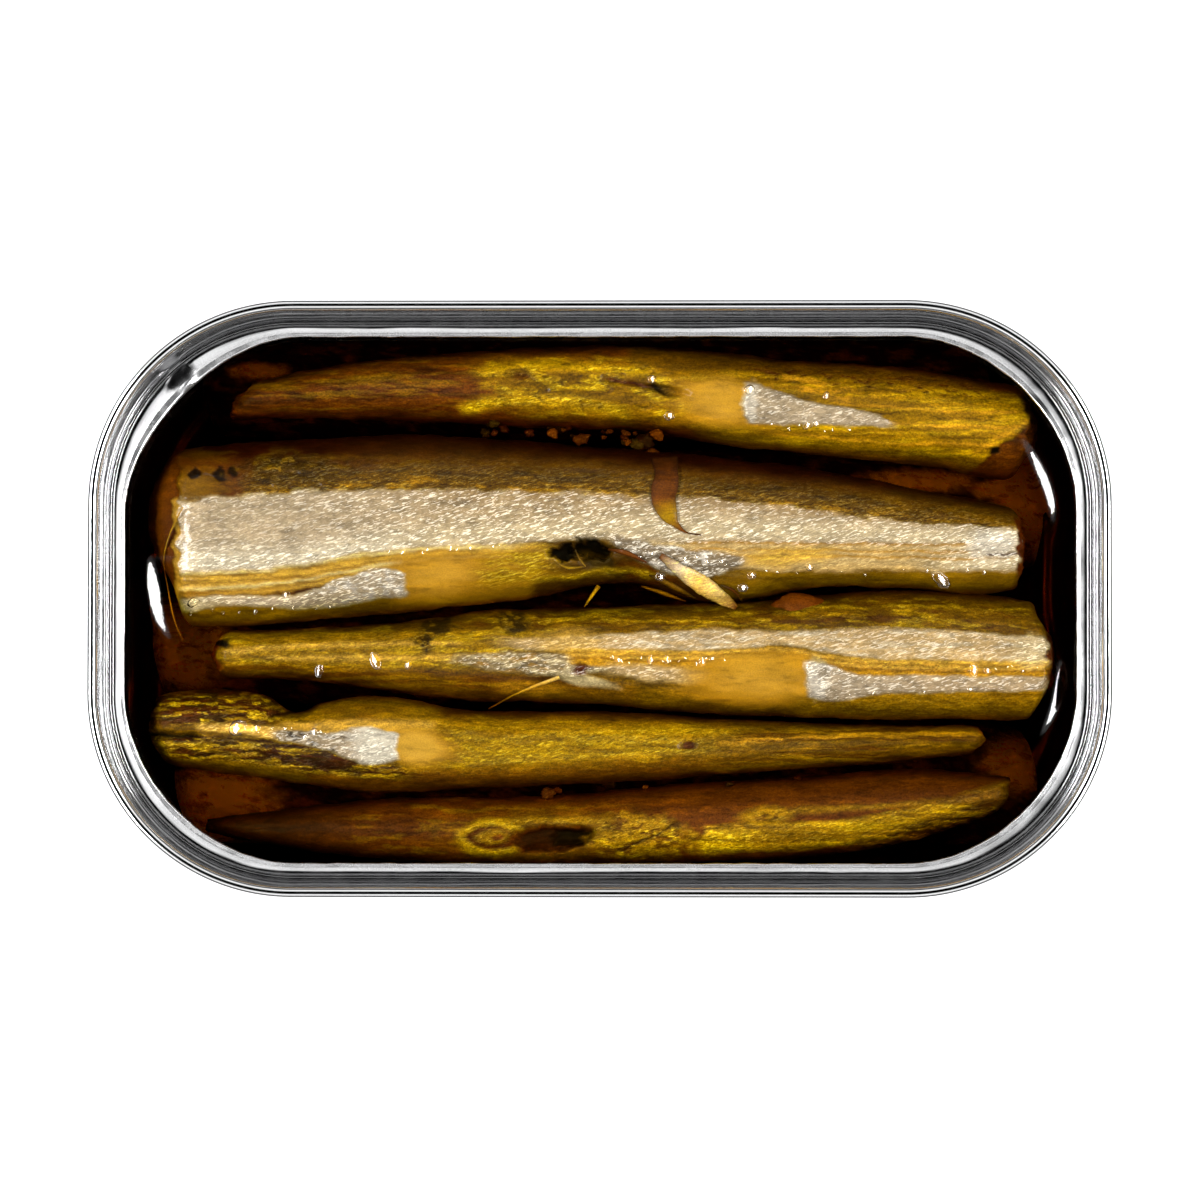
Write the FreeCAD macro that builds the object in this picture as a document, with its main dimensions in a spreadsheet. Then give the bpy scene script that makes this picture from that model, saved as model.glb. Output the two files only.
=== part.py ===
import FreeCAD, Part
import math
import os
import Sketcher
from FreeCAD import Vector

# An opened quarter-club fish tin: a drawn body, the seamed ring that is left of
# its peeled lid, oil, and two layers of garfish pieces laid lengthwise.
# Millimetres. X runs along the tin, Y across it, Z up. The origin is the centre
# of the footprint, on the plane that the tin stands on.

doc = FreeCAD.newDocument("garfish_tin")

# ---------------------------------------------------------------- sizes

tinSizes = {
    "rim_length": 105.0,        # over the seam, along X
    "rim_width": 61.4,          # over the seam, along Y
    "rim_corner": 21.1,         # corner radius, over the seam
    "tin_height": 28.0,         # from the stand to the top of the seam
    "sheet_gauge": 0.23,        # aluminium sheet of body and lid
    "seam_film": 0.025,         # sealing compound between two layers of the seam
    "seam_height": 3.0,         # from the top of the seam to its lower turn
    "hook_length": 1.5,         # how far the body hook reaches down
    "chuck_run": 0.95,          # how far the chuck wall leans in
    "countersink_depth": 4.2,   # from the top of the seam to the countersink
    "countersink_turn": 0.22,   # centre-line radius of the countersink's U
    "ledge_rise": 0.45,         # panel above the countersink
    "ledge_width": 1.1,         # strip of panel left outside the torn score
    "score_lip": 0.18,          # sharp raised lip along the tear
    "heel_radius": 2.4,         # turn from wall to base
    "stand_width": 2.6,         # flat ring that the tin stands on
    "base_step": 0.8,           # rise of the base panel
    "bead_inset": 7.0,          # from the first step to the second
    "bead_step": 0.4,           # rise of the second panel
    "step_radius": 0.5,         # rounding of both steps
    "oil_drop": 6.6,            # from the top of the seam to the oil
    "oil_gap": 0.05,            # oil to wall
    "fish_film": 0.1,           # oil to fish
    "end_reach": 6.5,           # lane values hold at this distance from the end walls
    "floor_gap": 0.15,          # lower fish above the base
    "layer_gap": 0.3,           # upper fish above the lower fish
    "lower_thickness": 10.2,    # height of the lower fish
}

# Each fish: gap to the neighbour (or wall) on its +Y side and own width, each at
# the left, middle and right of the tin; distance of its two ends from the end
# walls; how far its crest stands above the oil; how far each end face slants.
upperFish = {
    "fish_1": {"gap": (8.5, 4.0, 7.9), "wide": (3.0, 8.2, 8.7), "ends": (13.2, 7.6),
               "rise": 0.35, "slant": (0.0, 0.55), "lean": 0.10},
    "fish_2": {"gap": (2.7, 1.9, 3.8), "wide": (18.3, 14.6, 8.4), "ends": (7.0, 8.6),
               "rise": 1.30, "slant": (-0.08, -0.12), "lean": -0.06},
    "fish_3": {"gap": (0.5, 2.0, 1.2), "wide": (4.3, 9.6, 11.6), "ends": (12.5, 5.6),
               "rise": 1.05, "slant": (0.10, 0.05), "lean": 0.05},
    "fish_4": {"gap": (1.7, 0.8, 1.7), "wide": (7.9, 7.5, 1.3), "ends": (6.1, 12.6),
               "rise": 0.55, "slant": (0.0, 0.10), "lean": -0.05},
    "fish_5": {"gap": (5.6, 0.8, 3.4), "wide": (0.8, 7.4, 4.0), "ends": (11.6, 10.6),
               "rise": -0.35, "slant": (0.0, -0.25), "lean": 0.08},
}
upperRest = (6.1, 2.6, 7.4)     # gap left beside the last upper fish

lowerFish = {
    "lower_fish_1": {"gap": (4.2, 1.6, 4.2), "wide": (8.0, 11.2, 8.0), "ends": (10.0, 11.5),
                     "rise": 0.0, "slant": (0.2, -0.2), "lean": 0.05},
    "lower_fish_2": {"gap": (1.5, 0.5, 1.1), "wide": (12.5, 13.2, 12.4), "ends": (10.5, 6.0),
                     "rise": 0.0, "slant": (-0.1, 0.1), "lean": -0.06},
    "lower_fish_3": {"gap": (0.7, 0.8, 0.9), "wide": (13.0, 13.6, 12.5), "ends": (4.7, 13.0),
                     "rise": 0.0, "slant": (0.1, 0.15), "lean": 0.06},
    "lower_fish_4": {"gap": (1.8, 0.5, 1.6), "wide": (10.5, 13.8, 9.5), "ends": (7.8, 7.0),
                     "rise": 0.0, "slant": (-0.3, 0.25), "lean": -0.05},
}
lowerRest = (7.2, 4.2, 9.2)     # gap left beside the last lower fish

# Torn places in the upper fish: distance from the fish's left end, distance from
# its middle line towards +Y, and the length, width and depth of the hollow.
tears = {
    "fish_1": {"from_end": 43.5, "off_middle": 0.4, "long": 8.0, "wide": 1.3, "deep": 0.9},
    "fish_2": {"from_end": 43.0, "off_middle": -3.4, "long": 6.4, "wide": 2.4, "deep": 1.8},
    "fish_4": {"from_end": 0.5, "off_middle": -0.7, "long": 10.0, "wide": 1.2, "deep": 4.0},
    "fish_5": {"from_end": 35.2, "off_middle": -0.6, "long": 7.6, "wide": 2.4, "deep": 1.6},
}

places = ("left", "middle", "right")

sheet = doc.addObject("Spreadsheet::Sheet", "sizes")
rowsUsed = 0


def tell(alias, value):
    """Writes one named value into the next row of the sheet."""
    global rowsUsed
    rowsUsed += 1
    sheet.set(f"A{rowsUsed}", alias)
    sheet.set(f"B{rowsUsed}", str(value))
    sheet.setAlias(f"B{rowsUsed}", alias)


def tellFish(fishes, rest, restName):
    """Writes the values of one layer of fish into the sheet."""
    for name, fish in fishes.items():
        for place, gap, wide in zip(places, fish["gap"], fish["wide"]):
            tell(f"{name}_gap_{place}", gap)
            tell(f"{name}_wide_{place}", wide)
        tell(f"{name}_end_left", fish["ends"][0])
        tell(f"{name}_end_right", fish["ends"][1])
        tell(f"{name}_slant_left", fish["slant"][0])
        tell(f"{name}_slant_right", fish["slant"][1])
        tell(f"{name}_rise", fish["rise"])
        tell(f"{name}_lean", fish["lean"])
    for place, gap in zip(places, rest):
        tell(f"{restName}_gap_{place}", gap)


for alias, value in tinSizes.items():
    tell(alias, value)
tellFish(upperFish, upperRest, "upper_rest")
tellFish(lowerFish, lowerRest, "lower_rest")
for name, tear in tears.items():
    for part, value in tear.items():
        tell(f"{name}_tear_{part}", value)
doc.recompute()


def size(alias):
    """Reads a value from the sheet."""
    return float(getattr(sheet, alias))


# Insets from the outside of the seam. The double seam is five layers of sheet
# with four films of compound between them.
pitchText = "(sizes.sheet_gauge + sizes.seam_film)"
wallText = f"3 * {pitchText}"
innerText = f"{wallText} + sizes.sheet_gauge"
oilText = f"{innerText} + sizes.oil_gap"
standText = f"{wallText} + sizes.heel_radius + sizes.stand_width"
plateText = f"{standText} + sizes.bead_inset + 4 * sizes.step_radius"


def worth(text):
    """The value of an expression over the sheet."""
    return float(sheet.evalExpression(text))


gauge = size("sheet_gauge")
pitch = worth(pitchText)
top = size("tin_height")
floorTop = size("base_step") + size("bead_step") + gauge
oilLevel = top - size("oil_drop")
innerHalfLength = size("rim_length") / 2 - worth(innerText)
innerHalfWidth = size("rim_width") / 2 - worth(innerText)

# ---------------------------------------------------------------- outlines


def roundedOutline(name, insetText):
    """A rounded rectangle on the XY plane, inset from the outside of the seam.

    Its sizes are bound to the sheet. It starts and ends where it crosses +X.
    """
    sketch = doc.addObject("Sketcher::SketchObject", name)
    inset = worth(insetText)
    halfX = size("rim_length") / 2 - inset
    halfY = size("rim_width") / 2 - inset
    radius = size("rim_corner") - inset
    midX = halfX - radius
    midY = halfY - radius

    def line(x1, y1, x2, y2):
        return sketch.addGeometry(Part.LineSegment(Vector(x1, y1, 0), Vector(x2, y2, 0)))

    def arc(x, y, start):
        circle = Part.Circle(Vector(x, y, 0), Vector(0, 0, 1), radius)
        return sketch.addGeometry(Part.ArcOfCircle(circle, start, start + math.pi / 2))

    rightUpper = line(halfX, 0, halfX, midY)
    cornerA = arc(midX, midY, 0)
    far = line(midX, halfY, -midX, halfY)
    cornerB = arc(-midX, midY, math.pi / 2)
    left = line(-halfX, midY, -halfX, -midY)
    cornerC = arc(-midX, -midY, math.pi)
    near = line(-midX, -halfY, midX, -halfY)
    cornerD = arc(midX, -midY, 3 * math.pi / 2)
    rightLower = line(halfX, -midY, halfX, 0)

    loop = [rightUpper, cornerA, far, cornerB, left, cornerC, near, cornerD, rightLower]
    for first, second in zip(loop, loop[1:]):
        sketch.addConstraint(Sketcher.Constraint("Tangent", first, 2, second, 1))
    sketch.addConstraint(Sketcher.Constraint("Coincident", rightLower, 2, rightUpper, 1))
    sketch.addConstraint(Sketcher.Constraint("PointOnObject", rightUpper, 1, -1))
    sketch.addConstraint(Sketcher.Constraint("Vertical", rightUpper))
    sketch.addConstraint(Sketcher.Constraint("Horizontal", far))
    sketch.addConstraint(Sketcher.Constraint("Vertical", left))
    sketch.addConstraint(Sketcher.Constraint("Horizontal", near))
    for corner in (cornerB, cornerC, cornerD):
        sketch.addConstraint(Sketcher.Constraint("Equal", cornerA, corner))

    lengthText = f"sizes.rim_length / 2 - ({insetText})"
    widthText = f"sizes.rim_width / 2 - ({insetText})"
    bound = [
        (("Radius", cornerA, radius), f"sizes.rim_corner - ({insetText})"),
        (("DistanceX", -1, 1, rightUpper, 1, halfX), lengthText),
        (("DistanceX", left, 1, -1, 1, halfX), lengthText),
        (("DistanceY", -1, 1, far, 1, halfY), widthText),
        (("DistanceY", near, 1, -1, 1, halfY), widthText),
    ]
    for values, expression in bound:
        index = sketch.addConstraint(Sketcher.Constraint(*values))
        sketch.setExpression(f"Constraints[{index}]", expression)
    return sketch


def filletedWire(points):
    """An open wire through (x, z, corner radius) points in the XZ plane."""
    corners = [Vector(x, 0, z) for x, z, radius in points]
    edges = []
    last = corners[0]
    for index in range(1, len(points) - 1):
        here = corners[index]
        back = (corners[index - 1] - here).normalize()
        ahead = (corners[index + 1] - here).normalize()
        half = back.getAngle(ahead) / 2
        radius = points[index][2]
        reach = radius / math.tan(half)
        start = here + back * reach
        finish = here + ahead * reach
        crown = here + (back + ahead).normalize() * (radius / math.sin(half) - radius)
        if (start - last).Length > 1e-6:
            edges.append(Part.LineSegment(last, start).toShape())
        edges.append(Part.Arc(start, crown, finish).toShape())
        last = finish
    if (corners[-1] - last).Length > 1e-6:
        edges.append(Part.LineSegment(last, corners[-1]).toShape())
    return Part.Wire(edges)


def sheetProfile(name, points):
    """The cut through a bent sheet, as a closed wire.

    The points give the middle of the sheet: inset from the outside of the seam,
    height above the stand, corner radius.
    """
    halfLength = size("rim_length") / 2
    middle = filletedWire([(halfLength - inset, height, radius)
                           for inset, height, radius in points])
    side = middle.makeOffset2D(-gauge / 2, 0, False, True)
    face = side.makeOffset2D(gauge, 0, True, True)
    profile = doc.addObject("Part::Feature", name)
    profile.Shape = face.OuterWire
    return profile


def sweepRound(name, profile, path):
    """Sweeps a profile round a closed outline."""
    sweep = doc.addObject("Part::Sweep", name)
    sweep.Sections = [profile]
    sweep.Spine = (path, [f"Edge{index + 1}" for index in range(9)])
    sweep.Solid = True
    sweep.Frenet = False
    return sweep


rimPath = roundedOutline("rim_path", "0 * sizes.rim_corner")

# ---------------------------------------------------------------- tin body


def bodyPoints():
    """The drawn body: hook in the seam, wall, heel, stand ring, two base steps."""
    layer = [gauge / 2 + index * pitch for index in range(5)]
    turn = top - gauge / 2 - pitch
    stand = gauge / 2
    panel = stand + size("base_step")
    bead = panel + size("bead_step")
    radius = size("step_radius")
    firstStep = worth(standText)
    secondStep = firstStep + radius + size("bead_inset")
    return [
        (layer[1], turn - pitch - size("hook_length"), 0),
        (layer[1], turn, pitch),
        (layer[3], turn, pitch),
        (layer[3], stand, size("heel_radius")),
        (firstStep, stand, radius),
        (firstStep + radius, panel, radius),
        (secondStep, panel, radius),
        (secondStep + radius, bead, radius),
        (worth(plateText), bead, 0),
    ]


wall = sweepRound("body_wall", sheetProfile("body_profile", bodyPoints()), rimPath)

plateOutline = roundedOutline("plate_outline", plateText)
plate = doc.addObject("Part::Extrusion", "base_plate")
plate.Base = plateOutline
plate.DirMode = "Custom"
plate.Dir = Vector(0, 0, 1)
plate.Solid = True
plate.setExpression("LengthFwd", "sizes.sheet_gauge")
plate.setExpression("Placement.Base.z", "sizes.base_step + sizes.bead_step")

tinBody = doc.addObject("Part::Fuse", "tin_body")
tinBody.Base = wall
tinBody.Tool = plate

# ---------------------------------------------------------------- lid ring


def lidPoints():
    """What the peeled lid leaves: cover hook, seam, chuck wall, countersink, ledge."""
    layer = [gauge / 2 + index * pitch for index in range(5)]
    crown = top - gauge / 2
    foot = top - size("seam_height") + gauge / 2
    sink = top - size("countersink_depth") + gauge / 2
    turn = size("countersink_turn")
    ledge = sink + size("ledge_rise")
    sinkStart = layer[4] + size("chuck_run")
    sinkEnd = sinkStart + 2 * turn
    lip = size("score_lip")
    tear = sinkEnd + size("ledge_width")
    return [
        (layer[2], foot + pitch + size("hook_length"), 0),
        (layer[2], foot, pitch),
        (layer[0], foot, pitch),
        (layer[0], crown, 2 * pitch),
        (layer[4], crown, 2 * pitch),
        (layer[4], top - size("seam_height") / 2, size("seam_height") / 2),
        (sinkStart, sink, turn),
        (sinkEnd, sink, turn),
        (sinkEnd, ledge, turn),
        (tear - 2 * lip, ledge, gauge),
        (tear, ledge + lip, 0),
    ]


lidRing = sweepRound("lid_ring", sheetProfile("lid_profile", lidPoints()), rimPath)

# ---------------------------------------------------------------- fish


def quadratic(position, left, middle, right):
    """A smooth curve through three values at positions -1, 0 and 1."""
    return (left * position * (position - 1) / 2
            + middle * (1 - position * position)
            + right * position * (position + 1) / 2)


def laneAt(names, restName, wanted, position):
    """Centre and width across Y of one fish of a layer, at a place along the tin.

    The fish and the gaps between them are squeezed or spread together, so that
    the layer always fills the tin from wall to wall.
    """
    def spread(stem):
        return quadratic(position, *(size(f"{stem}_{place}") for place in places))

    gaps = [spread(f"{name}_gap") for name in names]
    wides = [spread(f"{name}_wide") for name in names]
    squeeze = 2 * innerHalfWidth / (sum(gaps) + sum(wides) + spread(f"{restName}_gap"))
    index = names.index(wanted)
    before = sum(gaps[:index + 1]) + sum(wides[:index])
    centre = innerHalfWidth - squeeze * (before + wides[index] / 2)
    return centre, squeeze * wides[index]


def fishLoft(names, restName, name, low, high, grow=0.0):
    """One piece of fish: a closed loft through rounded sections along the tin.

    low and high are the heights of its underside and crest where it is thickest.
    A thin end sinks and flattens. grow widens every section, for the oil's cut.
    """
    reach = innerHalfLength - size("end_reach")
    start = -innerHalfLength + size(f"{name}_end_left") - grow
    finish = innerHalfLength - size(f"{name}_end_right") + grow
    sectionCount = 9
    pointCount = 14
    stations = []
    for index in range(sectionCount):
        share = 0.5 - 0.5 * math.cos(math.pi * index / (sectionCount - 1))
        stations.append(start + (finish - start) * (0.6 * share + 0.4 * index / (sectionCount - 1)))
    lanes = [laneAt(names, restName, name, x / reach) for x in stations]
    widest = max(width for centre, width in lanes)
    wires = []
    for index, (x, (centre, width)) in enumerate(zip(stations, lanes)):
        along = index / (sectionCount - 1)
        thin = 1 - (width / widest) ** 0.8
        endRound = 1 - 0.22 * (2 * along - 1) ** 8
        height = (high - low) * (1 - 0.55 * thin) * endRound
        middle = (low + high) / 2 + 0.12 * (high - low) * thin
        slant = (size(f"{name}_slant_left") * (1 - along) ** 3
                 + size(f"{name}_slant_right") * along ** 3)
        points = []
        for step in range(pointCount):
            angle = 2 * math.pi * step / pointCount
            side = math.copysign(abs(math.cos(angle)) ** 0.85, math.cos(angle))
            rise = math.copysign(abs(math.sin(angle)) ** 0.85, math.sin(angle))
            across = side * (width * endRound / 2 + grow)
            across += size(f"{name}_lean") * rise * width
            points.append(Vector(x + slant * across, centre + across,
                                 middle + rise * (height / 2 + grow)))
        curve = Part.BSplineCurve()
        curve.interpolate(Points=points, PeriodicFlag=True)
        wires.append(Part.Wire([curve.toShape()]))
    return Part.makeLoft(wires, True, False)


def tearFish(names, restName, name, piece):
    """Cuts the torn hollow out of a piece of fish, where its skin lies."""
    def tear(part):
        return size(f"{name}_tear_{part}")

    x = -innerHalfLength + size(f"{name}_end_left") + tear("from_end")
    centre, width = laneAt(names, restName, name, x / (innerHalfLength - size("end_reach")))
    y = centre + tear("off_middle")
    plumb = piece.Shape.common(Part.makeLine(Vector(x, y, 0), Vector(x, y, top)))
    skin = max(vertex.Z for vertex in plumb.Vertexes)
    hollow = doc.addObject("Part::Ellipsoid", f"{name}_hollow")
    hollow.setExpression("Radius1", f"sizes.{name}_tear_deep")
    hollow.setExpression("Radius2", f"sizes.{name}_tear_long / 2")
    hollow.setExpression("Radius3", f"sizes.{name}_tear_wide / 2")
    hollow.Placement.Base = Vector(x, y, skin)
    torn = doc.addObject("Part::Cut", f"{name}_torn")
    torn.Base = piece
    torn.Tool = hollow
    return torn


lowerLow = floorTop + size("floor_gap")
lowerHigh = lowerLow + size("lower_thickness")
upperLow = lowerHigh + size("layer_gap")
layers = [
    (list(upperFish), "upper_rest", upperLow, oilLevel),
    (list(lowerFish), "lower_rest", lowerLow, lowerHigh),
]
fishObjects = []
cutters = []
for names, restName, low, high in layers:
    for name in names:
        crest = high + size(f"{name}_rise")
        piece = doc.addObject("Part::Feature", f"{name}_loft")
        piece.Shape = fishLoft(names, restName, name, low, crest)
        if name in tears:
            fishObjects.append((name, tearFish(names, restName, name, piece)))
        else:
            fishObjects.append((name, piece))
        cutter = doc.addObject("Part::Feature", f"{name}_room")
        cutter.Shape = fishLoft(names, restName, name, low, crest, size("fish_film"))
        cutters.append(cutter)

# ---------------------------------------------------------------- oil

oilOutline = roundedOutline("oil_outline", oilText)
oilBlock = doc.addObject("Part::Extrusion", "oil_block")
oilBlock.Base = oilOutline
oilBlock.DirMode = "Custom"
oilBlock.Dir = Vector(0, 0, 1)
oilBlock.Solid = True
oilBlock.setExpression("LengthFwd", "sizes.tin_height - sizes.oil_drop - sizes.base_step"
                       " - sizes.bead_step - sizes.sheet_gauge - sizes.oil_gap")
oilBlock.setExpression("Placement.Base.z", "sizes.base_step + sizes.bead_step"
                       " + sizes.sheet_gauge + sizes.oil_gap")
doc.recompute()

# The oil follows the heel of the tin round its lower edge.
lowestEdges = [index + 1 for index, edge in enumerate(oilBlock.Shape.Edges)
               if edge.BoundBox.ZMax < floorTop + size("oil_gap") + 0.01]
oilRounded = doc.addObject("Part::Fillet", "oil_rounded")
oilRounded.Base = oilBlock
oilRounded.Edges = [(index, size("heel_radius"), size("heel_radius")) for index in lowestEdges]

fishRoom = doc.addObject("Part::MultiFuse", "fish_room")
fishRoom.Shapes = cutters
oil = doc.addObject("Part::Cut", "oil")
oil.Base = oilRounded
oil.Tool = fishRoom

# ---------------------------------------------------------------- writing

doc.recompute()
nodes = [("tin_body", tinBody), ("lid_ring", lidRing), ("oil", oil)] + fishObjects
for label, item in nodes:
    item.Label = label
for item in doc.Objects:
    if "Invalid" in item.State or "Error" in item.State:
        raise RuntimeError(f"{item.Name} failed: {item.State}")
for label, item in nodes:
    if item.Shape.isNull() or not item.Shape.isValid():
        raise RuntimeError(f"{label} has no valid shape")

os.makedirs("parts", exist_ok=True)
for label, item in nodes:
    item.Shape.exportStep(f"parts/{label}.step")
    box = item.Shape.BoundBox
    print(f"{label}: {len(item.Shape.Solids)} solid, {item.Shape.Volume:.0f} mm3, "
          f"x {box.XMin:.2f}..{box.XMax:.2f}, y {box.YMin:.2f}..{box.YMax:.2f}, "
          f"z {box.ZMin:.2f}..{box.ZMax:.2f}")
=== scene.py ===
import math
import bpy
import numpy as np
from mathutils import Matrix, Vector


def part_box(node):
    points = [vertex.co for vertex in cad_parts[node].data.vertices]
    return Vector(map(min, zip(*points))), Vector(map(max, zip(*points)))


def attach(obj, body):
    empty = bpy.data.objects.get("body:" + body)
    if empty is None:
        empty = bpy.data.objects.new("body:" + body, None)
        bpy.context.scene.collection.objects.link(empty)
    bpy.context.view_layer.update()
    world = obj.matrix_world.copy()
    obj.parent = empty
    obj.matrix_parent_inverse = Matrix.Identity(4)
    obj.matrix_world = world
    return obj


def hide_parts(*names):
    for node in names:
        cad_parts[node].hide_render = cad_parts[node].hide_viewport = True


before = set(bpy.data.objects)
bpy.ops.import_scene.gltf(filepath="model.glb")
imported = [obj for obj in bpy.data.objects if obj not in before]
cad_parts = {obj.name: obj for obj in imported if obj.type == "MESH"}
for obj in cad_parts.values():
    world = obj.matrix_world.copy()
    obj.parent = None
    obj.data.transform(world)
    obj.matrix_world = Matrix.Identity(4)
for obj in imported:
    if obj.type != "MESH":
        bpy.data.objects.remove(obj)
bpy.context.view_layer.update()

mm = 0.001
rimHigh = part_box("lid_ring")[1]
oilLow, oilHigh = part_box("oil")
oilLevel = oilHigh[2] / mm
rimTop = rimHigh[2] / mm
halfLength = rimHigh[0] / mm
halfWidth = rimHigh[1] / mm
print("frame loaded, oil level", round(oilLevel, 2), "mm")


# small tools

def smooth(low, high, value):
    share = np.clip((value - low) / (high - low), 0.0, 1.0)
    return share * share * (3.0 - 2.0 * share)


def curveAt(points, x):
    # a smooth line through a few (x, y) points, level at both ends
    px = np.array([p[0] for p in points], dtype=float)
    py = np.array([p[1] for p in points], dtype=float)
    slope = np.gradient(py, px)
    x = np.clip(x, px[0], px[-1])
    index = np.clip(np.searchsorted(px, x) - 1, 0, len(px) - 2)
    span = px[index + 1] - px[index]
    t = (x - px[index]) / span
    a = (2 * t ** 3 - 3 * t ** 2 + 1) * py[index] + (t ** 3 - 2 * t ** 2 + t) * span * slope[index]
    b = (3 * t ** 2 - 2 * t ** 3) * py[index + 1] + (t ** 3 - t ** 2) * span * slope[index + 1]
    return a + b


def gridNoise(x, y, seed):
    # smooth value noise from -1 to 1, one cell per unit
    xi = np.floor(x)
    yi = np.floor(y)
    fx = x - xi
    fy = y - yi
    fx = fx * fx * (3 - 2 * fx)
    fy = fy * fy * (3 - 2 * fy)

    def corner(dx, dy):
        value = np.sin((xi + dx) * 127.1 + (yi + dy) * 311.7 + seed * 74.7) * 43758.5453
        return 2 * (value - np.floor(value)) - 1

    near = corner(0, 0) * (1 - fx) + corner(1, 0) * fx
    far = corner(0, 1) * (1 - fx) + corner(1, 1) * fx
    return near * (1 - fy) + far * fy


def rough(x, y, cellX, cellY, seed, layers=3):
    # several layers of value noise, cells in mm
    total = 0.0
    weight = 0.0
    for layer in range(layers):
        scale = 2.0 ** layer
        part = 0.55 ** layer
        total = total + part * gridNoise(x / cellX * scale, y / cellY * scale, seed + 13 * layer)
        weight += part
    return total / weight


def setSmooth(mesh):
    mesh.polygons.foreach_set("use_smooth", [True] * len(mesh.polygons))


def addPiece(name, points, faces, replaced=()):
    # points in mm; the piece rides on the tin
    mesh = bpy.data.meshes.new(name)
    mesh.from_pydata([tuple(p) for p in np.asarray(points, dtype=float) * mm], [], faces)
    mesh.update()
    setSmooth(mesh)
    piece = bpy.data.objects.new(name, mesh)
    bpy.context.scene.collection.objects.link(piece)
    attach(piece, "root")
    if replaced:
        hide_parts(*replaced)
    return piece


def addLayer(piece, name, values, kind="FLOAT"):
    layer = piece.data.attributes.new(name, kind, "POINT")
    if kind == "FLOAT":
        layer.data.foreach_set("value", np.asarray(values, dtype=np.float32).ravel())
    else:
        colours = np.ones((len(values), 4), dtype=np.float32)
        colours[:, :3] = values
        layer.data.foreach_set("color", colours.ravel())


def newMaterial(name):
    material = bpy.data.materials.new(name)
    material.use_nodes = True
    tree = material.node_tree
    tree.nodes.clear()
    return material, tree


def node(tree, kind, inputs=None, **settings):
    made = tree.nodes.new(kind)
    for key, value in settings.items():
        setattr(made, key, value)
    for key, value in (inputs or {}).items():
        if isinstance(value, bpy.types.NodeSocket):
            tree.links.new(value, made.inputs[key])
        else:
            made.inputs[key].default_value = value
    return made


def math2(tree, operation, a, b=0.0):
    return node(tree, "ShaderNodeMath", {0: a, 1: b}, operation=operation).outputs[0]


def times(tree, a, b):
    return math2(tree, "MULTIPLY", a, b)


def stored(tree, name):
    # a layer that the piece carries, as a number
    return node(tree, "ShaderNodeAttribute", attribute_name=name).outputs["Fac"]


def ramp(tree, value, low, high, outLow=0.0, outHigh=1.0):
    made = node(tree, "ShaderNodeMapRange", {"Value": value, "From Min": low, "From Max": high,
                                             "To Min": outLow, "To Max": outHigh},
                interpolation_type="SMOOTHSTEP")
    return made.outputs["Result"]


def mixColour(tree, factor, a, b, blend="MIX"):
    made = node(tree, "ShaderNodeMix", {0: factor, 6: a, 7: b}, data_type="RGBA", blend_type=blend)
    return made.outputs[2]


def noiseAt(tree, vector, scale, stretch=(1, 1, 1), detail=3.0, roughness=0.55, distortion=0.0,
            turn=0.0):
    mapping = node(tree, "ShaderNodeMapping", {"Vector": vector, "Rotation": (0, 0, turn),
                                               "Scale": tuple(1 / part for part in stretch)},
                   vector_type="TEXTURE")
    made = node(tree, "ShaderNodeTexNoise", {"Vector": mapping.outputs[0], "Scale": scale,
                                             "Detail": detail, "Roughness": roughness,
                                             "Distortion": distortion})
    return made.outputs["Fac"]


# camera, floor and light

stageLook = {
    "frameWidth": 122.45,       # mm the camera takes in at the height of the rim
    "lens": 200.0,
    "sensor": 36.0,
    "leanTowardsNear": 2.4,     # degrees off the vertical
    "leanTowardsRight": 1.6,
    "aim": (0.14, -0.19),       # mm
    "floorReach": 3.0,          # metres each way
    "floorColour": (0.3, 0.3, 0.3, 1),
    "floorRoughness": 0.9,
    "floorGlow": 0.94,
    "softboxPower": 6.8,
    "softboxSize": (0.66, 0.10),
    "softboxPlace": (0.46, 0.0, 0.62),
    "softboxAim": (0, 0, 0.02),
    "tentStrength": 1.0,        # soft light from all round; straight overhead it stays dark
    # where the tent goes from dark to light, as a share of straight up
    "tentTop": (0.93, 0.86),
    "tentFoot": (0.42, 0.66),
    "tentFootLight": 0.06,
    "tentHorizon": (0.09, 0.045),   # pale again near the floor
}


def addCamera():
    look = stageLook
    camera = bpy.data.objects.new("camera", bpy.data.cameras.new("camera"))
    bpy.context.scene.collection.objects.link(camera)
    camera.data.sensor_width = look["sensor"]
    camera.data.lens = look["lens"]
    camera.data.clip_start = 0.01
    distance = look["lens"] * look["frameWidth"] / look["sensor"] * mm
    target = Vector((look["aim"][0] * mm, look["aim"][1] * mm, rimTop * mm))
    offset = Vector((math.tan(math.radians(look["leanTowardsRight"])),
                     -math.tan(math.radians(look["leanTowardsNear"])), 1.0)).normalized()
    camera.location = target + offset * distance
    # the camera's sideways line stays along the length of the tin
    sideways = (Vector((1, 0, 0)) - offset * offset.x).normalized()
    turned = Matrix((sideways, offset.cross(sideways), offset)).transposed()
    camera.rotation_euler = turned.to_euler()
    bpy.context.scene.camera = camera


def addSoftbox(name, place, size, power):
    light = bpy.data.lights.new(name, "AREA")
    light.shape = "RECTANGLE"
    light.size, light.size_y = size
    light.energy = power
    lamp = bpy.data.objects.new(name, light)
    lamp.location = place
    towards = Vector(stageLook["softboxAim"]) - lamp.location
    lamp.rotation_euler = towards.to_track_quat("-Z", "Y").to_euler()
    bpy.context.scene.collection.objects.link(lamp)


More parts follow.
